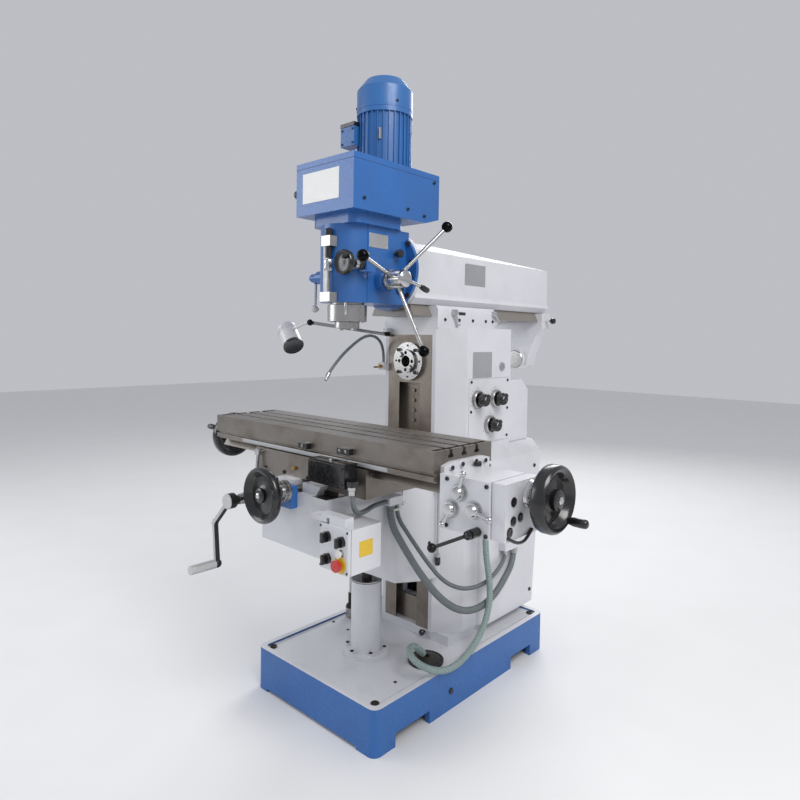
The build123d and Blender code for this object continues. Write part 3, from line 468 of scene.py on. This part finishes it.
# ---- finishes on the CAD pieces ----
LOOK = {
    "base_casting": (base_mat, 4), "screw_pedestal": (white, 2), "drain_strainer": (iron, 1),
    "stop_rod": (steel, 1), "column_casting": (white, 5), "column_ways": (scraped, 1.2),
    "arbor_bearing_cover": (steel, 1.2), "motor_cover": (white, 3), "ram_guide": (white, 2),
    "cabinet_door": (white, 1), "horizontal_spindle": (steel, 1), "speed_knob_1": (black, 1.5),
    "speed_knob_2": (black, 1.5), "speed_knob_3": (black, 1.5), "lamp_arm": (arm_mat, 0.5),
    "lamp_head": (lamp_mat, 1.5), "knee_casting": (white, 4), "cross_bracket": (blue, 2.5),
    "elevating_screw": (iron, 1), "knee_crank": (crank_mat, 1), "control_box": (white, 2.5),
    "start_button": (ivory, 0.8), "stop_button": (red, 2), "switch_knob": (black, 1),
    "knee_clamp_lever": (bright, 0.6), "cross_screw": (steel, 0.6), "saddle_casting": (ground, 2),
    "switch_box": (black, 2), "saddle_clamp_lever": (bright, 0.6), "table_casting": (ground, 1.2),
    "table_brackets": (white, 1.6), "feed_gearbox": (white, 3), "table_screw": (steel, 0.6),
    "gear_lever_1": (bright, 0.6), "gear_lever_2": (bright, 0.6), "gear_lever_3": (bright, 0.6),
    "feed_lever": (feed_mat, 0.6), "ram_casting": (ram_mat, 4), "ram_clamp_lever": (bright, 0.6),
    "arbor_support": (white, 3), "arbor_bush": (bronze, 1), "head_casting": (flange_mat, 3),
    "belt_cover": (cover_mat, 4), "drive_belt": (soft_black, 0.5), "head_motor": (motor_blue, 1),
    "depth_stop": (steel, 0.8), "spindle_pulley": (iron, 1), "motor_rotor": (iron, 1), "quill": (steel, 1.2),
    "vertical_spindle": (steel, 1), "quill_hub": (hub_mat, 1.2), "fine_feed_wheel": (black, 1),
    "brake_lever": (brake_mat, 1)}


def dress(name, mat, bevel):
    o = nodes[name]
    o.data.materials.clear()
    o.data.materials.append(mat)
    if "custom_normal" in o.data.attributes:
        o.data.attributes.remove(o.data.attributes["custom_normal"])
    o.data.shade_smooth()
    w = o.modifiers.new("weld", "WELD")
    w.merge_threshold = 0.00002
    b = o.modifiers.new("edges", "BEVEL")
    b.width = bevel / 1000
    b.segments = 2
    b.limit_method = "ANGLE"
    b.angle_limit = math.radians(40)
    b.use_clamp_overlap = True
    n = o.modifiers.new("flat", "WEIGHTED_NORMAL")
    n.weight = 100


for name, (mat, bevel) in LOOK.items():
    dress(name, mat, bevel)


# ---- handwheels ----
def wheel(name, origin, direction, r, body, width=30, hub=26, depth=16):
    w = width / 2
    prof = [(hub * 0.5, -w + 2), (hub, -w + 2), (hub + 4, -w + 8), (r - 24, -w + 6), (r - 17, -w - 1),
            (r - 8, -w - 2), (r - 2, -w + 3), (r, -w + 9), (r, w - 9), (r - 2, w - 3), (r - 8, w + 2),
            (r - 16, w), (r - 22, w - 8), (r - 30, w - depth - 2), (hub + 10, w - depth),
            (hub, w - depth + 4), (hub, w - 2), (hub - 4, w + 1), (hub * 0.5, w + 1)]
    bm = bmesh.new()
    lathe_into(bm, prof, origin, direction, 96)
    o = add(name, bm, black, body, 0, 50)
    lathe(name + "_nut", [(8, w), (hub * 0.42, w), (hub * 0.42, w + 5), (hub * 0.3, w + 7), (1, w + 7)],
          origin, direction, bright, body, 6, 20)
    lathe(name + "_boss", [(hub * 0.45, -w - 6), (hub * 0.82, -w - 6), (hub * 0.82, -w + 3),
                           (hub * 0.45, -w + 3)],
          origin, direction, bright, body, 48)
    return o


def grip(name, origin, direction, length, r, body, mat=None):
    prof = [(r * 0.45, 0), (r * 0.45, 8), (r * 0.75, 9), (r * 0.8, 14), (r * 0.95, length * 0.35),
            (r, length * 0.7), (r * 0.92, length - 5), (r * 0.6, length - 1), (1, length)]
    return lathe(name, prof, origin, direction, mat or black, body, 32, 60)


def dial(name, origin, direction, r, h, body, marks=60):
    lathe(name, [(r * 0.5, 0), (r, 0), (r, h * 0.3), (r - 1, h * 0.35), (r - 1, h - 1), (r - 2, h),
                 (r * 0.5, h)],
          origin, direction, steel, body, 64)
    bm = bmesh.new()
    rot = basis(direction)
    for i in range(marks):
        a = 2 * math.pi * i / marks
        long = 0.55 if i % 5 else 0.95
        t = Vector((-math.sin(a), math.cos(a), 0))
        n = Vector((math.cos(a), math.sin(a), 0))
        p0 = n * (r - 0.75) + Vector((0, 0, h * 0.35))
        p1 = n * (r - 0.75) + Vector((0, 0, h * (0.35 + 0.6 * long)))
        corners = ((p0, -0.35), (p0, 0.35), (p1, 0.35), (p1, -0.35))
        bm.faces.new([bm.verts.new(rot @ (p + t * k) / 1000 + V(*origin)) for p, k in corners])
    return add(name + "_marks", bm, iron, body)


right = wheel("right_wheel", (855, -401, 907), (1, 0, 0), 92, "table_drive", width=40, hub=28, depth=20)
left = wheel("left_wheel", (-662, -401, 907), (-1, 0, 0), 92, "table_drive", width=34, hub=26, depth=18)
grip("right_grip", (868, -349, 843), (1, 0, 0), 84 - 21, 13, "table_drive")
grip("left_grip", (-676, -477, 941), (-1, 0, 0), 52, 12, "table_drive")
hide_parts("table_handwheels")
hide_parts("table_handwheels")
dial("right_dial", (798, -401, 907), (1, 0, 0), 40, 22, "table_drive")
lathe("right_sleeve", [(13, 0), (20, 0), (20, 14), (13, 14)], (820, -401, 907), (1, 0, 0), bronze,
      "table_drive")
dial("left_dial", (-600, -401, 907), (-1, 0, 0), 38, 20, "table_drive")
lathe("left_sleeve", [(13, 0), (19, 0), (19, 26), (13, 26)], (-619, -401, 907), (-1, 0, 0), bright,
      "table_drive")
cross = wheel("cross_dish", (0, -718, 819), (0, -1, 0), 90, "cross_drive", width=26, hub=24, depth=16)
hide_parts("cross_wheel")
dial("cross_dial", (0, -626, 819), (0, -1, 0), 36, 24, "cross_drive")
lathe("cross_sleeve", [(13, 0), (18, 0), (22, 30), (22, 50), (13, 50)], (0, -650, 819), (0, -1, 0), bright,
      "cross_drive")
dial("crank_dial", (-120, -600, 786), (0, -1, 0), 30, 26, "crank", 40)


# ---- head details ----
block("cover_label", (-112, -479.2, 1792), (78, -478, 1896), ivory, "head", 0.4)
screws("cover_screws", [(149, -214, 1786), (149, -124, 1774), (149, -430, 1790), (149, -70, 1905)], (1, 0, 0),
       6, 5, black, "head")
screws("cover_lid_screws", [(x, y, 1936) for x in (-132, 132) for y in (-460, -260, -60)], (0, 0, 1), 5, 3,
       steel, "head")
block("cover_seam", (-149.3, -478.3, 1915), (149.3, -39.7, 1916), soft_black, "head", 0)
block("head_plate", (100, -356, 1641), (100.9, -262, 1690), plate, "head", 0.3)
screws("head_plate_pins", [(100.9, y, z) for y in (-351, -267) for z in (1645, 1686)], (1, 0, 0), 2, 1.2,
       bright, "head")
lathe("speed_grip", [(6, 0), (6, 10), (13, 12), (15, 18), (15, 30), (11, 35), (1, 36)], (100, -225, 1629),
      (1, 0, 0), black, "head")
lathe("side_cap", [(10, 0), (15, 0), (16, 4), (14, 9), (4, 10)], (100, -200, 1500), (1, 0, 0), black, "head")
screws("flange_bolts", [(x, -164.1, 1578 + z) for x, z in circle(150 * 0.86, (12, -12, 168, 192))],
       (0, -1, 0), 8, 8, black, "head")
lathe("hub_dome", [(32, 0), (32, 2), (29, 10), (20, 16), (8, 18), (1, 18)], (205, -290, 1530), (1, 0, 0),
      bright, "feed_hub")
lathe("hub_ring", [(32, 0), (35, 0), (36, 2), (36, 12), (35, 14), (32, 14)], (136, -290, 1530), (1, 0, 0),
      steel, "feed_hub")
wire("engage_stem", [(196, -284, 1528), (212, -262, 1522), (222, -225, 1509)], 6, bright, "feed_hub")
grip("engage_grip", (221, -228, 1510), (0.06, 0.93, -0.32), 50, 11, "feed_hub")
lathe("depth_nut", [(7, 0), (15, 0), (16, 2), (16, 16), (14, 18), (14, 22), (16, 24), (16, 36), (15, 38),
                    (7, 38)],
      (22, -472, 1552), (0, 0, 1), bright, "head")
lathe("depth_cap", [(6, 0), (13, 0), (14, 3), (14, 22), (10, 26), (1, 27)], (22, -472, 1670), (0, 0, 1),
      black, "head")
lathe("depth_sleeve", [(6.5, 0), (12, 0), (12, 38), (6.5, 38)], (22, -472, 1596), (0, 0, 1), black, "head")
block("depth_scale", (-16, -463, 1470), (2, -460.4, 1660), ivory, "head", 0.3)
bm = bmesh.new()
for i in range(46):
    wide = 10 if i % 5 == 0 else 6
    z = 1474 + 4 * i
    bm.faces.new([bm.verts.new(V(*p)) for p in ((-15, -463.2, z), (-15 + wide, -463.2, z),
                                                (-15 + wide, -463.2, z + 0.8),
                                                (-15, -463.2, z + 0.8))])
add("depth_marks", bm, iron, "head")
lathe("clamp_pin", [(4, 0), (5, 1), (5, 40), (3, 44), (1, 44)], (60, -425, 1447), (0, 0, -1), bright, "head")
lathe("wheel_collar", [(9, 0), (16, 0), (18, 6), (18, 18), (9, 18)], (115, -424, 1574), (0, -1, 0), bright,
      "fine_wheel")
lathe("fine_disc", [(6, 0), (30, -1), (40, -6), (42, -2), (42, 12), (38, 15), (26, 9), (12, 10), (1, 12)],
      (115, -480, 1574), (0, -1, 0), black, "fine_wheel", 64, 60)
lathe("fine_grip", [(4, 0), (5, 3), (8, 8), (8, 22), (1, 25)], (137, -488, 1590), (0, -1, 0), black,
      "fine_wheel")
lathe("brake_button", [(7, 0), (11, 1), (11, 10), (7, 14), (1, 14)], (-166, -384, 1542), (-1, 0, 0), black,
      "brake")
dial("quill_ring", (0, -363, 1432), (0, 0, -1), 70.6, 8, "quill_slide", 90)
screws("quill_screws", [(x, -363 + y, 1381) for x, y in circle(58, (30, 90, 150, 210, 270, 330))], (0, 0, -1),
       4, 2, iron, "quill_slide")
block("motor_lid", (-114, -306, 2100), (-38, -254, 2115), black, "head", 2)
screws("motor_lid_screws", [(x, -306, z) for x in (-104, -48) for z in (2040, 2090)], (0, -1, 0), 4, 2.5,
       black, "head")
block("motor_plate", (60, -275.5, 2040), (61, -230, 2080), plate, "head", 0.2, None)
lathe("cowl_band", [(104, 0), (105, 1), (105, 7), (104, 8)], (0, -186, 2160), (0, 0, 1), motor_blue, "head",
      96)
screws("cowl_screws", [(x, -186 + y, 2180) for x, y in circle(104, (-20, 100, 220))],
       (*circle(1, (-20,))[0], 0), 5, 3, black, "head")
bm = bmesh.new()
for r in (18, 32, 46):
    for k in range(int(r / 3)):
        a = 2 * math.pi * k / int(r / 3)
        lathe_into(bm, [(3, 0), (3, 0.4), (1, 0.5)], (r * math.cos(a), -186 + r * math.sin(a), 2277.7),
                   (0, 0, 1), 12)
add("cowl_holes", bm, iron, "head")
screws("motor_feet", [(x, -186 + y, 1950) for x in (-84, 84) for y in (-52, 52)], (0, 0, 1), 7, 8, steel,
       "head")

# ---- column details ----
block("speed_chart", (218, 100, 1173), (218.8, 229, 1275), plate, "frame", 0.3)
screws("chart_pins", [(218.8, y, z) for y in (105, 224) for z in (1178, 1270)], (1, 0, 0), 2.4, 1.4, bright,
       "frame")
block("speed_panel", (218, 80, 915), (218.26, 356, 1170), white, "frame", 0)
block("panel_edge_top", (218, 78, 1170), (220.5, 358, 1172.5), white, "frame", 0.6)
block("panel_edge_low", (218, 78, 912.5), (220.5, 358, 915), white, "frame", 0.6)
block("panel_edge_front", (218, 77.5, 912.5), (220.5, 80, 1172.5), white, "frame", 0.6)
screws("panel_screws", [(218.3, y, z) for y in (92, 344) for z in (928, 1042, 1158)], (1, 0, 0), 5, 4, iron,
       "frame")
for i, (y, z) in enumerate(((132, 1089), (257, 1086), (218, 983))):
    body = "knob_%d" % (i + 1)
    lathe("skirt_%d" % i, [(30, 0), (36, 0), (37, 2), (35, 12), (31, 15), (30, 15)], (218.6, y, z), (1, 0, 0),
          steel, body, 64)
    lathe("knob_cap_%d" % i, [(8, 0), (20, 0), (24, 3), (25, 8), (25, 24), (22, 29), (14, 29), (12, 26),
                              (1, 26)],
          (237, y, z), (1, 0, 0), black, body, 48)
    lathe("knob_face_%d" % i, [(12, 0), (12, 0.8), (1, 0.8)], (263.3, y, z), (1, 0, 0), ivory, body, 32)
    bm = bmesh.new()
    for k in range(13):
        a = math.radians(-30 + 20 * k)
        n = Vector((0, math.cos(a), math.sin(a)))
        t = Vector((0, -math.sin(a), math.cos(a)))
        p0 = Vector((218.5, y, z)) + n * 41
        p1 = Vector((218.5, y, z)) + n * (50 if k % 3 == 0 else 46)
        corners = ((p0, -0.7), (p0, 0.7), (p1, 0.7), (p1, -0.7))
        bm.faces.new([bm.verts.new((q + t * w) / 1000) for q, w in corners])
    add("knob_scale_%d" % i, bm, iron, "frame")
bm = bmesh.new()
for k in range(9):
    z = 700 - 16 * k
    a = [bm.verts.new(V(250.05, y, z + 8)) for y in (390, 500)]
    b = [bm.verts.new(V(256.5, y, z)) for y in (393, 497)]
    c = [bm.verts.new(V(250.05, y, z - 1)) for y in (393, 497)]
    bm.faces.new((a[0], a[1], b[1], b[0]))
    bm.faces.new((b[0], b[1], c[1], c[0]))
    bm.faces.new((a[0], b[0], c[0]))
    bm.faces.new((a[1], c[1], b[1]))
add("louvres", bm, white, "frame", 0.6)
bm = bmesh.new()
for k in range(9):
    z = 699 - 16 * k
    bm.faces.new([bm.verts.new(V(250.3, y, zz)) for y, zz in ((394, z - 4.5), (496, z - 4.5), (496, z),
                 (394, z))])
add("louvre_gaps", bm, iron, "frame")
screws("column_plugs", [(250, y, z) for y, z in ((300, 560), (220, 735), (500, 240), (520, 780))], (1, 0, 0),
       8, 4, black, "frame")
lathe("oil_glass", [(8, 0), (17, 0), (18, 2), (16, 6), (12, 6), (11, 4), (1, 4)], (218, 300, 1215), (1, 0, 0),
      bright, "frame")
block("guide_plate", (140, 106, 1420), (140.8, 150, 1432), black, "frame", 0.3)
screws("gib_screws", [(140, y, 1400) for y in (20, 110, 200, 290, 340)], (1, 0, 0), 6, 4, iron, "frame")
lathe("rear_clamp_hub", [(6, 0), (12, 0), (12, 16), (9, 18), (1, 18)], (140, 344, 1432), (1, 0, 0), bright,
      "frame")
wire("rear_clamp_stem", [(151, 344, 1432), (152, 360, 1414), (152, 376, 1394)], 5, bright, "frame")
lathe("rear_clamp_ball", [(2, -8), (6, -6), (8, 0), (6, 6), (2, 8)], (152, 377, 1392), (0, 0.6, -0.8), bright,
      "frame")
screws("flange_screws", [(x, -44, 1235 + z) for x, z in circle(62, (45, 135, 225, 315))], (0, -1, 0), 7, 4,
       iron, "frame")
screws("flange_pins", [(x, -38, 1235 + z) for x, z in circle(62, (0, 90, 180, 270))], (0, -1, 0), 4, 2, iron,
       "frame")
lathe("front_knob", [(5, 0), (5, 8), (11, 10), (12, 16), (9, 22), (1, 23)], (85, -10, 170), (0, -1, 0), black,
      "frame")
block("valve_lever", (-148, -50, 1203), (-142, -80, 1209), iron, "frame", 1)
lathe("valve_stem", [(4, 0), (7, 0), (7, 14), (4, 16), (1, 16)], (-134, -50, 1210), (0, -1, 0), bronze,
      "frame")
lathe("nozzle", [(3, 0), (8, 0), (8, 14), (6.5, 20), (5, 30), (3, 30)], (-77.6, -379, 1193),
      (0.12, -0.6, -0.79), steel, "frame")
for tag, x, y, r in (("a", 268, 340, 13), ("b", 264, 285, 8)):
    lathe("gland_" + tag, [(r, 0), (r + 5, 0), (r + 5, 7), (r + 3, 9), (r + 3, 24), (r, 24)], (x, y, 469.8),
          (0, 0, -1), steel, "frame", 6 if tag == "b" else 8, 20)
lathe("gland_d", [(12.5, 0), (18, 0), (18, 10), (15, 12), (15, 26), (12.5, 26)], (290, 104, 599.8),
      (0, 0, -1), steel, "frame")
lathe("rod_foot", [(10, 0), (24, 0), (22, 10), (14, 16), (14, 60), (10, 62)], (-255, -85, 190), (0, 0, 1),
      iron, "frame")
screws("base_screws", [(x, y, 148) for x in (-272, 272) for y in (-470, 470)], (0, 0, 1), 14, 6, iron,
       "frame")
screws("top_plugs", [(-291 + 22, -171, 148), (-174, -178, 148), (230, -330, 148)], (0, 0, 1), 6, 2, iron,
       "frame")
lathe("side_plug", [(6, 0), (11, 0), (11, 3), (8, 5), (1, 5)], (314, -127, 68), (1, 0, 0), iron, "frame")
lathe("strainer_dome", [(57, 0), (56, 5), (44, 11), (22, 15), (14, 16), (14, 4)], (213, -149, 152), (0, 0, 1),
      iron, "frame", 48)
screws("pedestal_bolts", [(x, -247 + y, 172) for x, y in circle(71.5, range(30, 390, 60))], (0, 0, 1), 7, 3,
       iron, "frame")
lathe("pedestal_ring", [(20.5, 0), (52, 0), (54, 2), (54, 5), (50, 6), (20.5, 6)], (0, -247, 421), (0, 0, 1),
      steel, "frame")
screws("door_screws", [(-262, y, z) for y in (238, 470) for z in (310, 756)], (-1, 0, 0), 5, 3, iron, "door")
lathe("door_handle", [(9, 0), (16, 0), (17, 4), (12, 8), (6, 9), (1, 9)], (-262, 256, 528), (-1, 0, 0), black,
      "door")
lathe("arbor_end_ring", [(28, 0), (44, 0), (44, 3), (41, 5), (30, 5), (28, 3)], (0, 835, 1231), (0, 1, 0),
      black, "overarm")
lathe("arbor_front_ring", [(28, 0), (43, 0), (43, 3), (40, 6), (28, 6)], (0, 740, 1231), (0, -1, 0), steel,
      "overarm")
lathe("arbor_knob", [(5, 0), (5, 6), (13, 8), (15, 14), (13, 24), (6, 28), (1, 28)], (154, 798, 1416),
      (1, 0, 0), black, "overarm")
block("arbor_face", (-62, 834.5, 1290), (62, 835.8, 1345), ground, "overarm", 0.4)
block("ram_plate", (110, 181, 1546), (110.9, 324, 1634), plate, "ram", 0.3)
screws("ram_plate_pins", [(110.9, y, z) for y in (187, 318) for z in (1551, 1629)], (1, 0, 0), 2.5, 1.4,
       bright, "ram")
screws("ram_end_screws", [(x, 840, z) for x in (-90, 90) for z in (1515, 1635)], (0, 1, 0), 6, 4, iron, "ram")
block("ram_end_cover", (-98, 840, 1506), (98, 842.5, 1646), white, "ram", 1)

# ---- lamp ----
axis = (V(-436, -262, 1285) - V(-510, -242, 1356)).normalized()
lens = Vector((-436, -262, 1285))
lathe("lamp_rim", [(37, -6), (42, -6), (43, -3), (43, 2), (41, 4), (37, 2)], lens, axis, black, "lamp", 64)
lathe("lamp_lens", [(36.8, -5), (36.8, -3), (28, -1), (12, 0.5), (1, 1)], lens, axis, glass, "lamp", 64, 60)
lathe("lamp_reflector", [(36, -10), (30, -18), (16, -24), (1, -25)], lens, axis, bright, "lamp", 64, 60)
tail = lens - axis * 104
lathe("lamp_tail", [(41, 0), (41, 6), (36, 14), (24, 20), (1, 21)], tail, -axis, lamp_mat, "lamp", 64, 40)
for k in range(4):
    lathe("lamp_fin_%d" % k, [(40.8, 0), (42.2, 0.6), (42.2, 2.2), (40.8, 2.8)], tail + axis * (8 + 6 * k),
          axis, lamp_mat, "lamp", 64)
lathe("lamp_switch", [(5, 0), (8, 0), (8, 4), (5, 7), (1, 7)], lens - axis * 60 + Vector((0, 0, 38)),
      (0, 0, 1), black, "lamp")

# ---- knee, saddle and table details ----
for side in (-1, 1):
    x0, x1 = sorted((side * 97, side * 168))
    block("knee_way_%d" % side, (x0, -594, 811.01), (x1, -27, 811.07), scraped, "knee", 0)
# painted shadow: a thin dark sheet on the knee way under the switch box
block("knee_way_painted_shadow", (110, -594, 811.01), (160, -548, 811.08), iron, "knee", 0)
lathe("limit_rod", [(3, 0), (5, 1), (5, 250), (8, 252), (9, 262), (9, 286), (6, 290), (1, 290)],
      (188, -60, 770), (0, 0, -1), steel, "knee")
block("limit_rod_lug", (170, -72, 752), (200, -48, 772), white, "knee", 2)
lathe("limit_rod_end", [(4, 0), (10, 1), (11, 6), (11, 26), (8, 32), (1, 32)], (188, -60, 505), (0, 0, -1),
      black, "knee")
screws("bracket_screws", [(-38, -625, 778), (-38, -625, 818)], (0, -1, 0), 6, 4, black, "knee")
screws("knee_plugs", [(170, y, z) for y, z in ((-520, 700), (-90, 560))], (1, 0, 0), 7, 3, iron, "knee")
block("hose_strap", (181, -331, 727), (199, -286, 737), steel, "knee", 1)
lathe("crank_hub", [(12, 0), (24, 0), (25, 3), (25, 26), (22, 30), (1, 30)], (-120, -744, 786), (0, -1, 0),
      crank_mat, "crank")
lathe("crank_sleeve", [(14, 0), (19, 0), (19, 60), (16, 90), (14, 90)], (-120, -640, 786), (0, -1, 0), steel,
      "crank")
for tag, lo, hi in (("front", (-164, -545, 812), (164, -541, 824)),
                    ("rear", (-164, -261, 812), (164, -257, 824))):
    block("wiper_" + tag, lo, hi, soft_black, "saddle", 0.8)
for tag, x in (("l", -292), ("r", 290)):
    block("table_wiper_" + tag, (x, -530, 905), (x + 2, -272, 918.5), soft_black, "saddle", 0.4)
screws("saddle_screws", [(x, -541, 850) for x in (-230, -120, 10)], (0, -1, 0), 7, 4, iron, "saddle")
lathe("saddle_oiler", [(4, 0), (7, 0), (7, 8), (4, 12), (1, 12)], (-60, -541, 872), (0, -1, 0), bronze,
      "saddle")
lathe("conduit_nut", [(8, 0), (14, 0), (14, 10), (11, 12), (11, 26), (8, 26)], (265, -575, 867.8), (0, 0, -1),
      bright, "saddle", 6, 20)
block("switch_lid", (78, -597, 866), (252, -595, 930), black, "saddle", 0.8)
screws("switch_screws", [(x, -597, z) for x in (88, 242) for z in (874, 922)], (0, -1, 0), 4, 2, iron,
       "saddle")
lathe("switch_roller", [(2, 0), (6, 0), (6, 8), (2, 8)], (165, -577, 936.5), (0, 1, 0.0), steel, "saddle")
block("dog_a", (-23, -559.5, 949), (23, -540.5, 969), black, "table", 1.5)
block("dog_b", (173, -559.5, 957), (231, -540.5, 977), black, "table", 1.5)
screws("dog_screws", [(0, -559.5, 959), (188, -559.5, 967), (216, -559.5, 967)], (0, -1, 0), 5, 2, steel,
       "table")
block("table_rule", (-380, -541.6, 925.6), (380, -540.9, 938), plate, "table", 0.1)
bm = bmesh.new()
for k in range(151):
    x = -375 + 5 * k
    top = 937 if k % 10 == 0 else 933 if k % 2 == 0 else 930
    bm.faces.new([bm.verts.new(V(*p)) for p in ((x, -541.75, 926.5), (x + 0.6, -541.75, 926.5),
                                                (x + 0.6, -541.75, top), (x, -541.75, top))])
add("rule_marks", bm, iron, "table")
BOLTS = ((-81, 54), (-33, 58), (33, 58), (81, 54))
screws("bracket_bolts", [(580, -401 + y, 907 + z) for y, z in BOLTS], (1, 0, 0), 7, 3, black, "table")
screws("left_bolts", [(-574, -401 + y, 907 + z) for y, z in BOLTS], (-1, 0, 0), 7, 6, black, "table")
screws("panel_bolts", [(x, -530, z) for x, z in ((600, 941), (732, 940), (600, 812), (732, 808))], (0, -1, 0),
       6, 4, black, "table")
for i, (x, z) in enumerate(((644, 910), (617, 861), (693, 871))):
    lathe("gear_dial_%d" % i, [(20.5, 0), (26, 0), (26, 0.2), (20.5, 0.24)], (x, -530.02, z), (0, -1, 0),
          plate, "table", 48)
    lathe("lever_cap_%d" % i, [(8, 0), (16, 0), (17, 2), (14, 8), (1, 9)], (x, -543, z), (0, -1, 0), bright,
          "lever_%d" % (i + 1))
lathe("box_oil_cap", [(6, 0), (12, 0), (13, 2), (13, 10), (9, 14), (1, 14)], (592, -376, 954), (0, 0, 1),
      black, "table", 6, 20)
screws("box_plugs", [(785, y, z) for y, z in ((-482, 901), (-434 - 14, 854), (-483, 850), (-499, 824))],
       (1, 0, 0), 13, 3, black, "table")
lathe("box_collar", [(34, 0), (40, 0), (41, 3), (38, 12), (34, 12)], (785, -401, 907), (1, 0, 0), bright,
      "table")
wire("arc_lever", [(787, -512, 812), (792, -490, 798), (793, -458, 788), (792, -425, 792), (788, -392, 812)],
     4.5, black, "table")
grip("feed_collar", (705, -566, 815), (0, -1, 0), 14, 12, "feed")
block("box_seam", (742.5, -522.4, 800), (743.5, -351.6, 952.4), soft_black, "table", 0)

# ---- control box details ----
lathe("stop_disc", [(9, 0), (25, 0), (26, 1), (26, 2.5), (22, 3), (9, 3)], (286, -640.1, 648), (0, -1, 0),
      yellow, "pendant", 48)
for i, (x, z) in enumerate(((288, 717), (226, 653))):
    lathe("knob_skirt_%d" % i, [(6, 0), (17, 0), (17, 5), (15, 7), (1, 7)], (x, -640.2, z), (0, -1, 0), black,
          "pendant")
    block("knob_bar_%d" % i, (x - 5, -664, z - 15), (x + 5, -646, z + 15), black, "pendant", 2)
for i, (x, z) in enumerate(((224, 720), (288, 717), (226, 653), (286, 681))):
    lathe("bezel_%d" % i, [(18 if i < 3 else 12.5, 0), (21 if i < 3 else 15, 0), (21 if i < 3 else 15, 0.6),
                           (18 if i < 3 else 12.5, 0.6)], (x, -640.1, z), (0, -1, 0), bright, "pendant", 48)
block("side_patch", (324, -598, 668), (324.9, -542, 716), yellow, "pendant", 0.3)
screws("box_screws", [(x, -640, z) for x in (196, 316) for z in (628, 749)], (0, -1, 0), 3.5, 2, iron,
       "pendant")
block("box_lid_seam", (187.7, -632, 619.7), (324.3, -631, 757.3), soft_black, "pendant", 0)
lathe("box_gland", [(6, 0), (12, 0), (12, 8), (9, 16), (1, 16)], (256, -560, 620), (0, 0, -1), black,
      "pendant")

# ---- floor and light ----
bm = bmesh.new()
bmesh.ops.create_grid(bm, x_segments=2, y_segments=2, size=14)
floor = add("floor", bm, finish("studio floor", (0.80, 0.80, 0.80), 0.7, vary=0.02, grain=8, dirt_and_shade_amount=0.0),
            None)
floor.location.z = -0.0004
SCENE.view_settings.view_transform = "Standard"
world = bpy.data.worlds.new("studio")
SCENE.world = world
world.use_nodes = True
world.node_tree.nodes["Background"].inputs[0].default_value = (0.92, 0.94, 1.0, 1)
world.node_tree.nodes["Background"].inputs[1].default_value = 0.55


def lamp(name, where, aim, size, power, color=(1, 1, 1)):
    data = bpy.data.lights.new(name, "AREA")
    data.size = size
    data.energy = power
    data.color = color
    o = bpy.data.objects.new(name, data)
    SCENE.collection.objects.link(o)
    o.location = where
    o.rotation_euler = (Vector(aim) - Vector(where)).to_track_quat("-Z", "Y").to_euler()


lamp("key", (3.4, -1.2, 4.4), (0, -0.2, 1.0), 2.4, 150, (1.0, 0.985, 0.96))
lamp("fill", (-3.6, -3.4, 2.4), (0, -0.2, 1.1), 2.6, 62, (0.93, 0.96, 1.0))
lamp("rear", (-1.5, 3.8, 3.6), (0, 0.2, 1.3), 2.4, 90)
